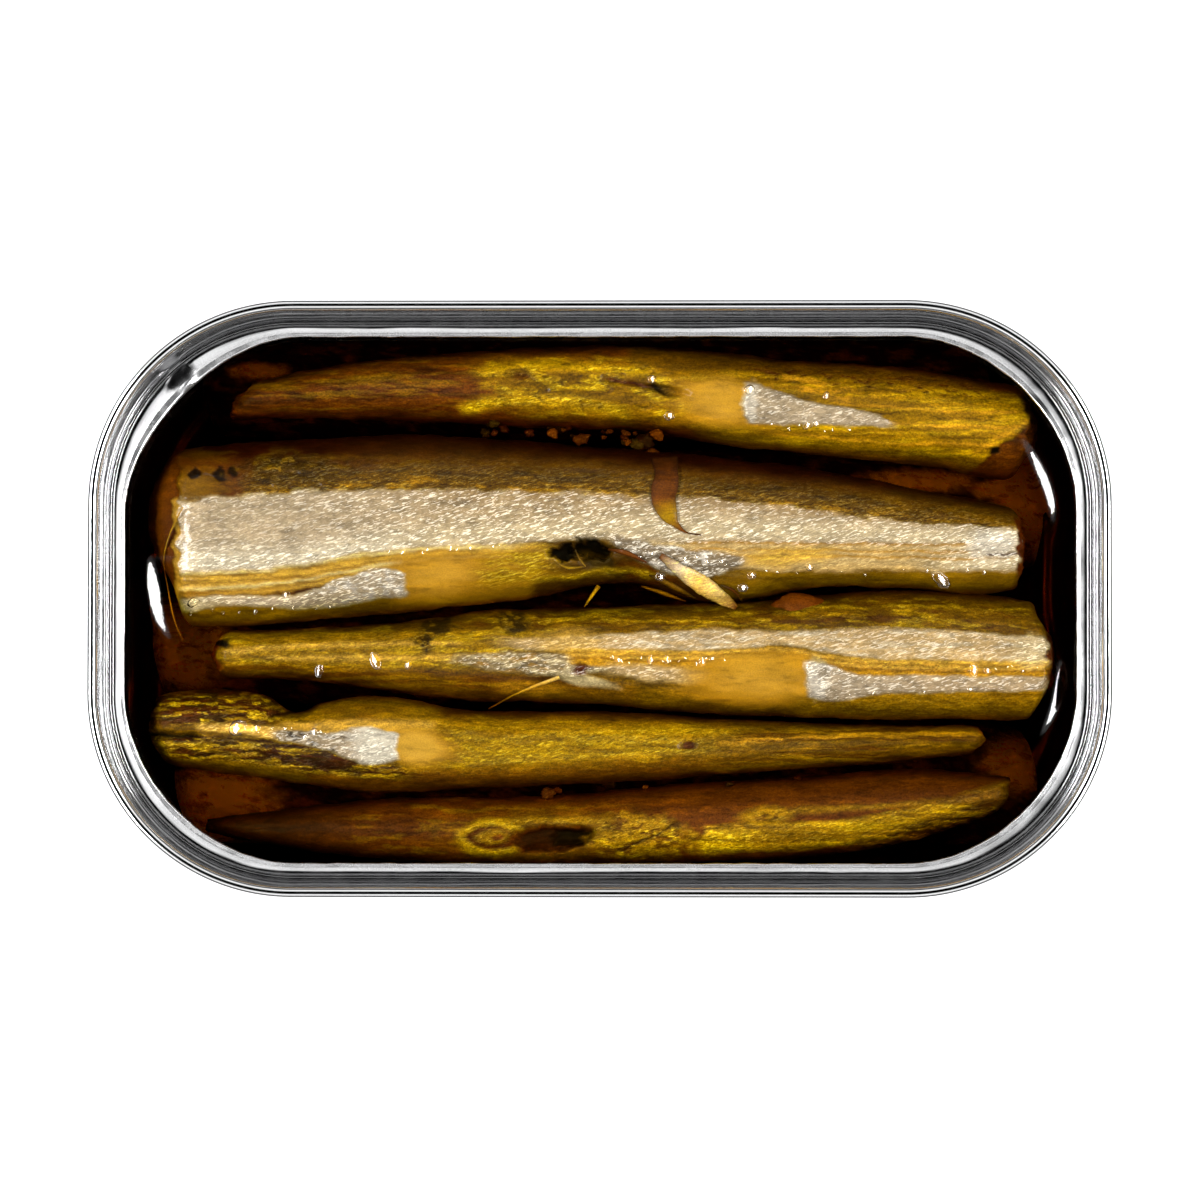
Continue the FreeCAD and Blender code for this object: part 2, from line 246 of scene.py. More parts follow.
def addStage():
    look = stageLook
    mesh = bpy.data.meshes.new("floor")
    reach = look["floorReach"]
    mesh.from_pydata([(-reach, -reach, 0), (reach, -reach, 0), (reach, reach, 0),
                      (-reach, reach, 0)], [], [(0, 1, 2, 3)])
    floor = bpy.data.objects.new("floor", mesh)
    bpy.context.scene.collection.objects.link(floor)
    material, tree = newMaterial("floor")
    shader = node(tree, "ShaderNodeBsdfPrincipled",
                  {"Base Color": look["floorColour"], "Roughness": look["floorRoughness"],
                   "Emission Color": (1, 1, 1, 1), "Emission Strength": look["floorGlow"]})
    node(tree, "ShaderNodeOutputMaterial", {"Surface": shader.outputs[0]})
    mesh.materials.append(material)

    x, y, z = look["softboxPlace"]
    addSoftbox("softboxLeft", (-x, y, z), look["softboxSize"], look["softboxPower"])
    addSoftbox("softboxRight", (x, y, z), look["softboxSize"], look["softboxPower"])

    world = bpy.data.worlds.new("tent")
    world.use_nodes = True
    tree = world.node_tree
    tree.nodes.clear()
    place = node(tree, "ShaderNodeTexCoord").outputs["Generated"]
    upwards = node(tree, "ShaderNodeSeparateXYZ", {0: place}).outputs[2]
    tent = times(tree, ramp(tree, upwards, *look["tentTop"]),
                 ramp(tree, upwards, *look["tentFoot"], look["tentFootLight"], 1.0))
    tent = math2(tree, "MAXIMUM", tent, ramp(tree, upwards, *look["tentHorizon"]))
    tent = times(tree, tent, look["tentStrength"])
    sky = node(tree, "ShaderNodeBackground", {"Color": (1, 1, 1, 1), "Strength": tent})
    node(tree, "ShaderNodeOutputWorld", {"Surface": sky.outputs[0]})
    bpy.context.scene.world = world
    bpy.context.scene.view_settings.view_transform = "Standard"


addCamera()
addStage()
print("camera, floor and light are set")


# the tin: bent sheet swept round a rounded rectangle

tinLook = {
    "corner": 21.1,             # radius over the seam
    "gauge": 0.23,
    "pitch": 0.255,             # one layer of the seam and its film
    "seamHeight": 3.0,
    "hook": 1.5,
    "chuckRun": 0.95,
    "sinkDepth": 4.2,
    "sinkTurn": 0.22,
    "ledgeRise": 0.45,
    "ledgeWidth": 1.1,
    "lip": 0.18,
    "ledgeSlope": 0.29,         # falls towards the opening
    "cornerWiden": 0.45,        # the opening is rounder than the seam
    "tornWiden": 0.75,          # more in the corner where it was torn open
    "heel": 2.4,
    "standWidth": 2.6,
    "baseStep": 0.8,
    "beadInset": 7.0,
    "beadStep": 0.4,
    "stepRadius": 0.5,
    "dentAt": (-43.2, 23.0),    # pressed beside the tear where the opening began
    "dentRadius": 1.4,
    "dentDepth": 0.3,
    "rippleHeight": 0.05,
    "notchDepth": 0.07,         # unevenness of the torn edge
    "rimSteps": (44, 1.1),      # steps round a corner, mm between steps along a side
    "rimSheetStep": 0.16,       # mm between points across the sheet
    "rimTint": (0.93, 0.93, 0.935),
    "rimRoughness": (0.08, 0.14),
    "bodySteps": (26, 2.0),
    "bodySheetStep": 1.2,
    "bodyTint": (0.45, 0.45, 0.455),
    "bodyRoughness": (0.21, 0.24),
    "plateRings": (0.72, 0.42, 0.12),   # rings of the flat base, as shares of its size
    "shadeTint": (0.16, 0.16, 0.165),   # metal in its own shade
    "speckTint": (0.4, 0.4, 0.4),
}


def bentLine(points, arcSteps=7):
    # points are (inset, height, radius); returns the line with its turns rounded
    line = [np.array(points[0][:2], dtype=float)]
    for before, here, after in zip(points, points[1:], points[2:]):
        a, b, c = (np.array(p[:2], dtype=float) for p in (before, here, after))
        back = (a - b) / np.linalg.norm(a - b)
        ahead = (c - b) / np.linalg.norm(c - b)
        half = math.acos(float(np.clip(back @ ahead, -1, 1))) / 2
        radius = here[2]
        centre = b + (back + ahead) / np.linalg.norm(back + ahead) * radius / math.sin(half)
        start = b + back * radius / math.tan(half) - centre
        finish = b + ahead * radius / math.tan(half) - centre
        sweep = math.pi - 2 * half
        for step in range(arcSteps + 1):
            share = step / arcSteps
            turned = start * math.sin((1 - share) * sweep) + finish * math.sin(share * sweep)
            line.append(centre + turned / math.sin(sweep))
    line.append(np.array(points[-1][:2], dtype=float))
    kept = [line[0]]
    for point in line[1:]:
        if np.linalg.norm(point - kept[-1]) > 1e-4:
            kept.append(point)
    return np.array(kept)


def splitLong(line, longest):
    # adds points to the long straight runs, so that dents and ripples can show
    out = [line[0]]
    for a, b in zip(line, line[1:]):
        pieces = max(1, int(np.ceil(np.linalg.norm(b - a) / longest)))
        for step in range(1, pieces + 1):
            out.append(a + (b - a) * step / pieces)
    return np.array(out)


def thicken(line, gauge):
    # closes an open line into the outline of a sheet of this gauge
    along = np.gradient(line, axis=0)
    along /= np.linalg.norm(along, axis=1)[:, None]
    normal = np.stack([-along[:, 1], along[:, 0]], axis=1)
    return np.concatenate([line + normal * gauge / 2, (line - normal * gauge / 2)[::-1]])


def roundPath(cornerSteps, sideStep):
    # stations round the tin: corner centre, unit direction outwards, and the slack
    # of straight sides as places along them
    corner = tinLook["corner"]
    midX = halfLength - corner
    midY = halfWidth - corner
    stations = []
    for cx, cy, first in ((midX, midY, 0), (-midX, midY, 90), (-midX, -midY, 180),
                          (midX, -midY, 270)):
        for step in range(cornerSteps + 1):
            angle = math.radians(first + 90 * step / cornerSteps)
            stations.append((cx, cy, math.cos(angle), math.sin(angle)))
        nextCx = {0: -midX, 90: -midX, 180: midX, 270: midX}[first]
        nextCy = {0: midY, 90: -midY, 180: -midY, 270: midY}[first]
        angle = math.radians(first + 90)
        length = math.hypot(nextCx - cx, nextCy - cy)
        count = int(length / sideStep)
        for step in range(1, count):
            share = step / count
            stations.append((cx + (nextCx - cx) * share, cy + (nextCy - cy) * share,
                             math.cos(angle), math.sin(angle)))
    return np.array(stations)


def sweepSheet(outline, stations):
    # outline points are (inset, height); returns points and faces of the swept sheet
    corner = tinLook["corner"]
    rows = []
    for cx, cy, nx, ny in stations:
        out = corner - outline[:, 0]
        rows.append(np.stack([cx + nx * out, cy + ny * out, outline[:, 1]], axis=1))
    points = np.concatenate(rows)
    count = len(outline)
    faces = []
    total = len(stations)
    for station in range(total):
        a = station * count
        b = ((station + 1) % total) * count
        for index in range(count):
            nextIndex = (index + 1) % count
            faces.append((a + index, b + index, b + nextIndex, a + nextIndex))
    return points, faces


def layers():
    gauge = tinLook["gauge"]
    return [gauge / 2 + index * tinLook["pitch"] for index in range(5)]


def lidLine():
    look = tinLook
    layer = layers()
    crown = rimTop - look["gauge"] / 2
    foot = rimTop - look["seamHeight"] + look["gauge"] / 2
    sink = rimTop - look["sinkDepth"] + look["gauge"] / 2
    ledge = sink + look["ledgeRise"]
    sinkStart = layer[4] + look["chuckRun"]
    sinkEnd = sinkStart + 2 * look["sinkTurn"]
    tear = sinkEnd + look["ledgeWidth"]
    line = bentLine([
        (layer[2], foot + look["pitch"] + look["hook"], 0),
        (layer[2], foot, look["pitch"]),
        (layer[0], foot, look["pitch"]),
        (layer[0], crown, 2 * look["pitch"]),
        (layer[4], crown, 2 * look["pitch"]),
        (layer[4], rimTop - look["seamHeight"] / 2, look["seamHeight"] / 2),
        (sinkStart, sink, look["sinkTurn"]),
        (sinkEnd, sink, look["sinkTurn"]),
        (sinkEnd, ledge, look["sinkTurn"]),
        (tear - 2 * look["lip"], ledge, look["gauge"]),
        (tear, ledge + look["lip"], 0),
    ])
    return line, tear


def bodyLine():
    look = tinLook
    layer = layers()
    turn = rimTop - look["gauge"] / 2 - look["pitch"]
    stand = look["gauge"] / 2
    panel = stand + look["baseStep"]
    bead = panel + look["beadStep"]
    radius = look["stepRadius"]
    first = 3 * look["pitch"] + look["heel"] + look["standWidth"]
    second = first + radius + look["beadInset"]
    return bentLine([
        (layer[1], turn - look["pitch"] - look["hook"], 0),
        (layer[1], turn, look["pitch"]),
        (layer[3], turn, look["pitch"]),
        (layer[3], stand, look["heel"]),
        (first, stand, radius),
        (first + radius, panel, radius),
        (second, panel, radius),
        (second + radius, bead, radius),
        (second + 3 * radius, bead, 0),
    ])


def makeSheetMetal(name, tint, roughLow, roughHigh):
    # bare sheet: cloudy shine, fine specks, dull and pitted where it was torn
    material, tree = newMaterial(name)
    place = node(tree, "ShaderNodeTexCoord").outputs["Object"]
    torn = stored(tree, "torn")
    cloud = noiseAt(tree, place, 500.0, (1, 1, 1), 4.0, 0.6)
    grain = noiseAt(tree, place, 7000.0, (1, 1, 1), 3.0, 0.7)
    roughness = ramp(tree, cloud, 0.35, 0.65, roughLow, roughHigh)
    roughness = math2(tree, "ADD", roughness, times(tree, torn, 0.16))
    mottle = math2(tree, "ADD", grain, times(tree, cloud, 0.7))
    dull = times(tree, torn, ramp(tree, mottle, 0.78, 1.08, 0.0, 0.42))
    speck = ramp(tree, grain, 0.35, 0.65, 0.0, 0.12)
    colour = mixColour(tree, dull, (*tint, 1), tuple(c * 0.45 for c in tint) + (1,))
    colour = mixColour(tree, speck, colour, (*tinLook["speckTint"], 1))
    colour = mixColour(tree, stored(tree, "shaded"), colour, (*tinLook["shadeTint"], 1))
    bump = node(tree, "ShaderNodeBump", {"Strength": ramp(tree, torn, 0.0, 1.0, 0.04, 0.22),
                                         "Distance": 0.00003, "Height": grain})
    shader = node(tree, "ShaderNodeBsdfPrincipled",
                  {"Base Color": colour, "Metallic": 1.0, "Roughness": roughness,
                   "Normal": bump.outputs[0]})
    node(tree, "ShaderNodeOutputMaterial", {"Surface": shader.outputs[0]})
    return material


def buildRim():
    look = tinLook
    stations = roundPath(*look["rimSteps"])
    line, tear = lidLine()
    wallFoot = tear - look["ledgeWidth"]
    outline = thicken(splitLong(line, look["rimSheetStep"]), look["gauge"])
    points, faces = sweepSheet(outline, stations)
    x, y, z = points.T
    inset = np.tile(outline[:, 0], len(stations))
    out = np.repeat(stations[:, 2:4], len(outline), axis=0)

    # the ledge ripples a little, is wider in the corners and falls towards the opening
    onLedge = smooth(wallFoot - 0.1, wallFoot + 0.3, inset)
    z += onLedge * look["rippleHeight"] * rough(x, y, 4.0, 4.0, 3)
    widen = look["cornerWiden"] + look["tornWiden"] * smooth(0, -20, x) * smooth(0, 10, y)
    widen = 1 + widen / look["ledgeWidth"] * (2 * np.abs(out[:, 0] * out[:, 1])) ** 1.3
    fromWall = np.clip(inset - wallFoot, 0, look["ledgeWidth"])
    x -= out[:, 0] * fromWall * (widen - 1)
    y -= out[:, 1] * fromWall * (widen - 1)
    steeper = 1 - 0.14 * out[:, 0] + 0.1 * out[:, 1]       # it falls most at the torn corner
    level = fromWall * widen * look["ledgeSlope"] * steeper
    z -= level

    # its torn edge is uneven
    nearTear = smooth(tear - 0.35, tear, inset)
    z += nearTear * look["rippleHeight"] * rough(x, y, 0.7, 0.7, 5)
    notch = nearTear * look["notchDepth"] * rough(x, y, 0.9, 0.9, 8)
    x += out[:, 0] * notch
    y += out[:, 1] * notch

    # the dent has a level floor where the ledge slopes
    dent = np.hypot(x - look["dentAt"][0], y - look["dentAt"][1]) / look["dentRadius"]
    pressed = smooth(wallFoot - 0.2, wallFoot + 0.1, inset) * smooth(1.0, 0.8, dent)
    z += pressed * (level - look["dentDepth"])
    lid = addPiece("lidRing", np.stack([x, y, z], axis=1), faces, ("lid_ring",))
    uneven = 0.12 * rough(x, y, 1.6, 1.6, 11)
    tornZone = smooth(tear - 0.75, tear - 0.35, inset + uneven)
    addLayer(lid, "torn", tornZone * smooth(-0.5, 0.2, rough(x, y, 5, 5, 12) + 0.5))

    # in their own shade: the wall above the ledge, most of all along the long sides, the
    # outside of the seam under its overhang, and the dent
    seamInside = layers()[4] + look["gauge"] / 2
    wall = (smooth(seamInside - 0.12, seamInside + 0.02, inset) *
            smooth(wallFoot - 0.25, wallFoot - 0.45, inset))
    skirt = smooth(0.3, 0.1, inset) * smooth(rimTop - 0.6, rimTop - 1.2, z)
    dark = np.maximum(wall * (0.24 + 0.54 * out[:, 1] ** 2), 0.5 * skirt)
    inDent = smooth(1.05, 0.85, dent) * smooth(wallFoot - 0.3, wallFoot, inset)
    addLayer(lid, "shaded", np.maximum(dark, 0.6 * inDent))
    metal = makeSheetMetal("rimSheet", look["rimTint"], *look["rimRoughness"])
    lid.data.materials.append(metal)
    return lid


def closeBase(points, faces, count):
    # the flat base plate closes the swept sheet inside and outside
    total = len(points) // count
    half = count // 2
    rows = points.reshape(total, count, 3)
    points = list(points)
    faces = [f for f in faces if not {f[0] % count, f[3] % count} == {half - 1, half}]
    for column, flip in ((half - 1, False), (half, True)):
        previous = [station * count + column for station in range(total)]
        for scale in tinLook["plateRings"]:
            ring = []
            for station in range(total):
                px, py, pz = rows[station, column]
                ring.append(len(points))
                points.append((px * scale, py * scale, pz))
            for station in range(total):
                after = (station + 1) % total
                quad = (previous[station], previous[after], ring[after], ring[station])
                faces.append(quad[::-1] if flip else quad)
            previous = ring
        faces.append(tuple(previous[::-1]) if flip else tuple(previous))
    return np.array(points), faces


def buildBody():
    look = tinLook
    outline = thicken(splitLong(bodyLine(), look["bodySheetStep"]), look["gauge"])
    points, faces = sweepSheet(outline, roundPath(*look["bodySteps"]))
    points, faces = closeBase(points, faces, len(outline))
    body = addPiece("tinBody", points, faces, ("tin_body",))
    metal = makeSheetMetal("bodySheet", look["bodyTint"], *look["bodyRoughness"])
    body.data.materials.append(metal)
    return body


lid = buildRim()
body = buildBody()
print("tin built,", len(lid.data.polygons) + len(body.data.polygons), "faces")


# skin: colour, shine and relief laid over a fish in millimetres, seen from above

def tone(red, green, blue):
    share = np.array([red, green, blue]) / 255.0
    return np.where(share <= 0.04045, share / 12.92, ((share + 0.055) / 1.055) ** 2.4)


tones = {
    "black": tone(8, 4, 2),
    "deepBrown": tone(38, 15, 2),
    "brown": tone(78, 38, 3),
    "backBrown": tone(58, 17, 3),
    "redBrown": tone(100, 44, 6),
    "warmBrown": tone(104, 54, 4),
    "olive": tone(108, 76, 3),
    "mossy": tone(60, 44, 8),
    "mustard": tone(152, 114, 4),
    "yellow": tone(196, 158, 6),
    "amber": tone(210, 154, 32),
    "paleAmber": tone(234, 186, 84),
    "flesh": tone(206, 180, 138),
    "pink": tone(230, 197, 144),
    "cream": tone(243, 225, 188),
    "silver": tone(220, 200, 168),
    "grey": tone(164, 146, 116),
    "white": tone(255, 250, 238),
}


class Skin:
    def __init__(self, x, y, seed):
        # a slight waver keeps every edge natural
        self.x = x + 0.6 * rough(x, y, 1.9, 1.1, seed, 4)
        self.y = y + 0.26 * rough(x, y, 2.3, 1.0, seed + 1, 4)
        self.y = self.y + 0.1 * rough(x, y, 0.7, 0.6, seed + 2)
        self.seed = seed
        self.colour = np.zeros(x.shape + (3,))
        self.silver = np.zeros(x.shape)
        self.glitter = np.zeros(x.shape)
        self.calm = np.zeros(x.shape)
        self.lift = np.zeros(x.shape)

    def lay(self, mask, colour=None, silver=None, glitter=None, lift=0.0, strength=1.0, calm=None):
        share = np.clip(mask * strength, 0, 1)
        if calm is not None:
            self.calm += (calm - self.calm) * share
        if colour is not None:
            self.colour += (tones[colour] - self.colour) * share[..., None]
        if silver is not None:
            self.silver += (silver - self.silver) * share
        if glitter is not None:
            self.glitter += (glitter - self.glitter) * share
        self.lift += lift * share

    def band(self, top, bottom, soft=0.3, ends=(0.8, 0.8), ragged=0.0):
        # between two lines that run the length of the fish
        first = max(top[0][0], bottom[0][0])
        last = min(top[-1][0], bottom[-1][0])
        torn = ragged * rough(self.x, self.y, 1.4, 0.5, 77, 4) if ragged else 0.0
        above = smooth(-soft, soft, curveAt(top, self.x) - self.y + torn)
        below = smooth(-soft, soft, self.y - curveAt(bottom, self.x))
        return (above * below * smooth(first - ends[0], first + ends[0], self.x) *
                smooth(last + ends[1], last - ends[1], self.x))

    def strand(self, points, width, ends=0.8):
        # a thin line that runs the length of the fish
        away = (self.y - curveAt(points, self.x)) / width
        return (np.exp(-away * away) * smooth(points[0][0] - ends, points[0][0] + ends, self.x) *
                smooth(points[-1][0] + ends, points[-1][0] - ends, self.x))

    def spot(self, place, size, turn=0.0, soft=0.35, ragged=0.0):
        # an oval patch; ragged breaks its edge
        angle = math.radians(turn)
        dx = self.x - place[0]
        dy = self.y - place[1]
        along = (dx * math.cos(angle) + dy * math.sin(angle)) / size[0]
        across = (-dx * math.sin(angle) + dy * math.cos(angle)) / size[1]
        away = np.hypot(along, across)
        if ragged:
            away = away + ragged * rough(dx, dy, 0.9, 0.6, self.seed + 5)
        return smooth(1 + soft, 1 - soft, away)

    def broken(self, cellX, cellY, shift, low=-0.1, high=0.35):
        # patches of noise, stretched along the fish
        return smooth(low, high, rough(self.x, self.y, cellX, cellY, self.seed + shift))


def paintFishOne(skin):
    x, y = skin.x, skin.y
    skin.lay(np.ones(x.shape), "warmBrown")
    skin.lay(skin.broken(5, 0.7, 1), "brown", strength=0.8)
    skin.lay(smooth(-14, -20, x), "brown", strength=0.45, glitter=0.4)
    skin.lay(smooth(-28, -38, x), "brown", strength=0.4)
    skin.lay(skin.broken(4, 0.26, 21, 0.1, 0.35) * smooth(-10, -16, x), "mustard", strength=0.3,
             lift=0.05)
    skin.lay(skin.broken(3, 0.3, 22, 0.1, 0.3) * smooth(-10, -16, x), "deepBrown", strength=0.6,
             lift=-0.06)
    skin.lay(smooth(19.8, 18.2, y) * smooth(4, -4, x), "redBrown", strength=0.4)
    skin.lay(skin.band([(-38, 22), (-20, 23.2), (-8, 24.4)], [(-38, 20), (-20, 20.6), (-8, 21.5)]) *
             skin.broken(4, 0.6, 2), "mustard", strength=0.35)
    skin.lay(skin.strand([(-36, 18.6), (-20, 19.0), (-10, 19.3)], 0.9), "redBrown", strength=0.25)
    skin.lay(skin.spot((-12, 18.6), (4, 1.0)), "redBrown", strength=0.4)
    # the yellow mottled middle
    yellowZone = skin.band([(-13, 24.2), (-6, 24.6), (4, 24.0), (13, 23.2)],
                           [(-13, 19.4), (-6, 18.8), (4, 18.4), (13, 17.6)], 0.8, (2, 3))
    yellowZone = yellowZone * smooth(-0.9, 0.7, (x + 8.5) / 4 + rough(x, y, 2.4, 0.6, 71, 3) +
                                     smooth(19, 24, y))
    skin.lay(yellowZone, "mustard", strength=0.8)
    skin.lay(yellowZone * skin.broken(2.2, 0.5, 3), "yellow", glitter=0.8)
    skin.lay(skin.strand([(-14, 19.6), (-8, 20.3), (-2, 20.2), (3, 19.0)], 0.5), "yellow",
             glitter=1.0, strength=0.9)
    skin.lay(skin.strand([(-12, 23.2), (-6, 23.9), (0, 23.4), (6, 22.9)], 0.45), "yellow",
             strength=0.7)
    skin.lay(yellowZone * skin.broken(0.9, 0.5, 4, 0.2, 0.5), "olive", lift=-0.12, strength=0.8)
    skin.lay(skin.spot((-8, 22.7), (1.5, 0.8)), "olive", lift=-0.1, strength=0.8)
    skin.lay(skin.spot((-8, 22.7), (0.8, 0.4)), "brown", lift=-0.1, strength=0.7)
    skin.lay(skin.band([(3, 26), (16, 25), (40, 22.4)], [(3, 23.8), (16, 22.6), (40, 20.4)]),
             "olive", strength=0.75)
    # olive and yellow streaks to the right
    rightZone = skin.band([(12, 23), (30, 21.8), (44, 20.6)], [(12, 15.6), (30, 13), (44, 12.6)],
                          0.6, (3, 1))
    skin.lay(rightZone, "mustard")
    skin.lay(rightZone * skin.broken(9, 0.28, 6, -0.05, 0.25), "yellow", glitter=0.3, strength=0.8)
    skin.lay(rightZone * skin.broken(9, 0.32, 7, 0.1, 0.35), "olive", strength=0.75)
    for start, finish in (((18, 16.8), (42, 15.6)), ((24, 18.4), (43, 17.4)), ((24, 20), (43, 19))):
        middle = ((start[0] + finish[0]) / 2, (start[1] + finish[1]) / 2 - 0.25)
        skin.lay(skin.strand([start, middle, finish], 0.16), "amber", strength=0.7, lift=0.05)
    skin.lay(skin.band([(15, 24.2), (28, 23.4), (41, 21.6)], [(15, 22.4), (28, 21.3), (41, 19.8)]) *
             skin.broken(0.9, 0.3, 8, 0.05, 0.3), "brown", lift=-0.1, glitter=1.0, strength=0.8)
    skin.lay(skin.band([(10, 17), (20, 15.8), (40, 14.3)], [(10, 15), (20, 14), (40, 12.6)], 0.5),
             "olive", strength=0.8)
    # slit, painted dark as shade inside it
    skin.lay(skin.strand([(0.6, 22.5), (4, 21.9), (9.4, 20.9)], 0.42, 0.5), "brown", lift=-0.35)
    skin.lay(skin.spot((6.6, 21.25), (1.5, 0.55), -12, ragged=0.3), "black", lift=-0.6)
    # smooth amber swelling, then the blunt silver tongue
    skin.lay(skin.band([(8, 22.4), (12, 22.5), (18, 21.6)], [(8, 18.4), (12, 17.6), (18, 17.4)],
                       0.8, (2.4, 2)), "amber", lift=0.35, glitter=0.0, calm=1)
    skin.lay(skin.spot((12.5, 20.2), (3.2, 2.0), -8, 0.6), "paleAmber", strength=0.45)
    tongue = skin.band([(15, 22), (18, 21.2), (22, 20), (27, 19.1), (30, 18)],
                       [(15, 18), (18, 17.9), (22, 17.8), (27, 17.6), (30, 17.4)], 0.22, (0.35, 1))
    skin.lay(tongue, "silver", silver=0.8, lift=0.3, glitter=0.6)
    skin.lay(tongue * skin.broken(0.8, 0.5, 11), "grey", strength=0.5, lift=-0.05)
    skin.lay(skin.spot((15.6, 20), (0.7, 1.9), 0, ragged=0.3), "white", strength=0.7, lift=0.1)
    skin.lay(skin.band([(17, 23.2), (23, 22.2), (28, 20.8)], [(17, 21.6), (23, 20.4), (28, 19.4)]) *
             skin.broken(1.4, 0.4, 12), "amber", strength=0.8)
    # the cut end
    cut = smooth(-0.3, 0.4, x - (38.4 + 1.25 * (y - 13.5)) + 0.5 * rough(x, y, 0.9, 0.9, 73))
    skin.lay(cut, "brown", silver=0.0, glitter=0.1, lift=-0.25)
    skin.lay(cut * skin.broken(1.4, 0.5, 15), "warmBrown", strength=0.7, lift=0.1)
    skin.lay(skin.strand([(38, 14.6), (41, 16.6), (44, 18.2)], 0.3), "amber", strength=0.55)
    skin.lay(skin.spot((40.4, 15.1), (0.8, 0.4), 20), "black", lift=-0.2)


def paintFishTwo(skin):
    x, y = skin.x, skin.y
    skin.lay(np.ones(x.shape), "brown", calm=0.5)
    skin.lay(skin.broken(8, 0.7, 1, -0.2, 0.6), "deepBrown", strength=0.55)
    skin.lay(smooth(13.4, 15.0, y + 0.1 * np.maximum(x, 0)), "backBrown")
    # the back turns from brown to olive towards the flank and to the right
    backOlive = smooth(15.5, 11.5, y + 0.12 * x)
    skin.lay(backOlive * smooth(-34, 4, x), "olive", strength=0.8, glitter=0.35)
    skin.lay(smooth(13.4, 11.6, y + 0.08 * x) * skin.broken(3, 0.5, 2), "mustard", strength=0.3)
    skin.lay(skin.band([(-47, 14.6), (-41, 14.6), (-35, 13.6)], [(-47, 9), (-41, 9.4), (-35, 10)],
                       0.7, (1, 2.5)), "warmBrown", strength=0.9)
    skin.lay(skin.spot((-42, 11.2), (3.6, 1.9), 10, 0.6, 0.3), "mustard", strength=0.55)
    for place, size in (((-41.3, 12.8), (0.7, 0.5)), ((-38.8, 12.7), (0.9, 0.7)),
                        ((-37.4, 13.0), (0.5, 0.55))):
        skin.lay(skin.spot(place, size, 20, 0.25, 0.5), "black", lift=-0.08, strength=0.95)
    roughPatch = skin.spot((-31, 12.4), (5.8, 2.1), -3, 0.35, 0.35)
    skin.lay(roughPatch, "mossy", strength=0.9, glitter=0.9, calm=0)
    skin.lay(roughPatch * skin.broken(0.9, 0.4, 3, 0.0, 0.3), "deepBrown", lift=-0.18, strength=0.7)
    skin.lay(roughPatch * skin.broken(1.1, 0.35, 4, 0.2, 0.4), "mustard", lift=0.08, strength=0.65)
    # the sparkling line where the back meets the flank
    line = [(-36, 11.2), (-24, 12.1), (0, 11.5), (20, 9.9), (42, 7.4)]
    skin.lay(skin.strand(line, 1.5, 2), "olive", glitter=1.0, strength=0.85, calm=0)
    skin.lay(skin.strand([(px, py - 0.7) for px, py in line], 0.6, 2) * skin.broken(1.5, 0.3, 5),
             "amber", strength=0.6)
    skin.lay(skin.strand([(px, py + 0.9) for px, py in line], 0.5, 2) * skin.broken(2.0, 0.3, 25),
             "mossy", strength=0.6)
    # silver flank
    flankTop = [(-43, 10), (-38, 10.3), (-30, 10.9), (-20, 11), (-10, 10.9), (0, 10.7), (10, 10.2),
                (20, 9.2), (30, 7.9), (43, 7.1)]
    flankLow = [(-43, 2.5), (-36, 2.8), (-30, 3.5), (-24, 4.6), (-17, 5.2), (-10, 5.5), (-5, 5.9),
                (0, 6), (10, 5.3), (30, 5.2), (43, 4.6)]
    flank = skin.band(flankTop, flankLow, 0.3, (0.1, 0.3), 0.45)
    skin.lay(flank, "flesh", silver=0.8, glitter=0.4, lift=0.1, calm=0)
    skin.lay(flank * skin.spot((-8, 8.6), (20, 3.0), -4, 0.8, 0.3), glitter=0.9)
    skin.lay(flank * smooth(-8, -30, x), "silver", strength=0.8)
    skin.lay(flank * smooth(-1.6, 0.6, y - curveAt(flankTop, x)) * smooth(-30, -10, x), "amber",
             strength=0.4, glitter=0.9)
    skin.lay(flank * skin.broken(3.0, 1.0, 6, 0.0, 0.5), "grey", strength=0.3)
    # the lower flank's bright silver, partly the skin's own, partly painted highlight that turns it
    # white to the right
    bright = skin.strand([(-43, 3.8), (-30, 4.1), (-20, 5.7), (-5, 6.7), (6, 7.2), (20, 6.6),
                          (43, 6)], 1.5)
    skin.lay(flank * bright, "cream", strength=0.9, glitter=1.0, silver=0.7)
    skin.lay(flank * bright * smooth(-16, -26, x), "white", strength=0.55)
    skin.lay(flank * skin.spot((-34, 7.4), (8.0, 2.0), 0, 0.7), "silver", strength=0.4,
             glitter=0.15)
    skin.lay(flank * skin.broken(0.9, 0.3, 7, 0.15, 0.4), "cream", strength=0.5, lift=0.06)
    # lower flank to the right, with fine amber lines
    lower = skin.band([(5, 5.7), (20, 5.5), (43, 5.0)], [(5, 4.6), (16, 2.9), (43, 2.7)], 0.3,
                      (1.5, 0.3))
    skin.lay(lower, "pink", silver=0.35, glitter=0.4)
    skin.lay(lower * smooth(30, 40, x), "cream", silver=0.7, glitter=1.0)
    for height in (5.6, 4.9, 4.3):
        skin.lay(skin.strand([(9, height + 0.1), (24, height - 0.1), (42, height - 0.3)], 0.15),
                 "amber", lift=-0.1, strength=0.8)
    skin.lay(skin.spot((19, 4.2), (4.5, 0.9), 4, 0.5), "paleAmber", silver=0.1, strength=0.8)
    skin.lay(skin.spot((40.4, 5.4), (2.6, 1.5), 0, 0.4, 0.3), "white", silver=0.8, glitter=1.0,
             strength=0.8)
    skin.lay(skin.strand([(39.8, 4.3), (41.4, 4.4), (43, 4.6)], 0.12, 0.3), "brown", lift=-0.2)
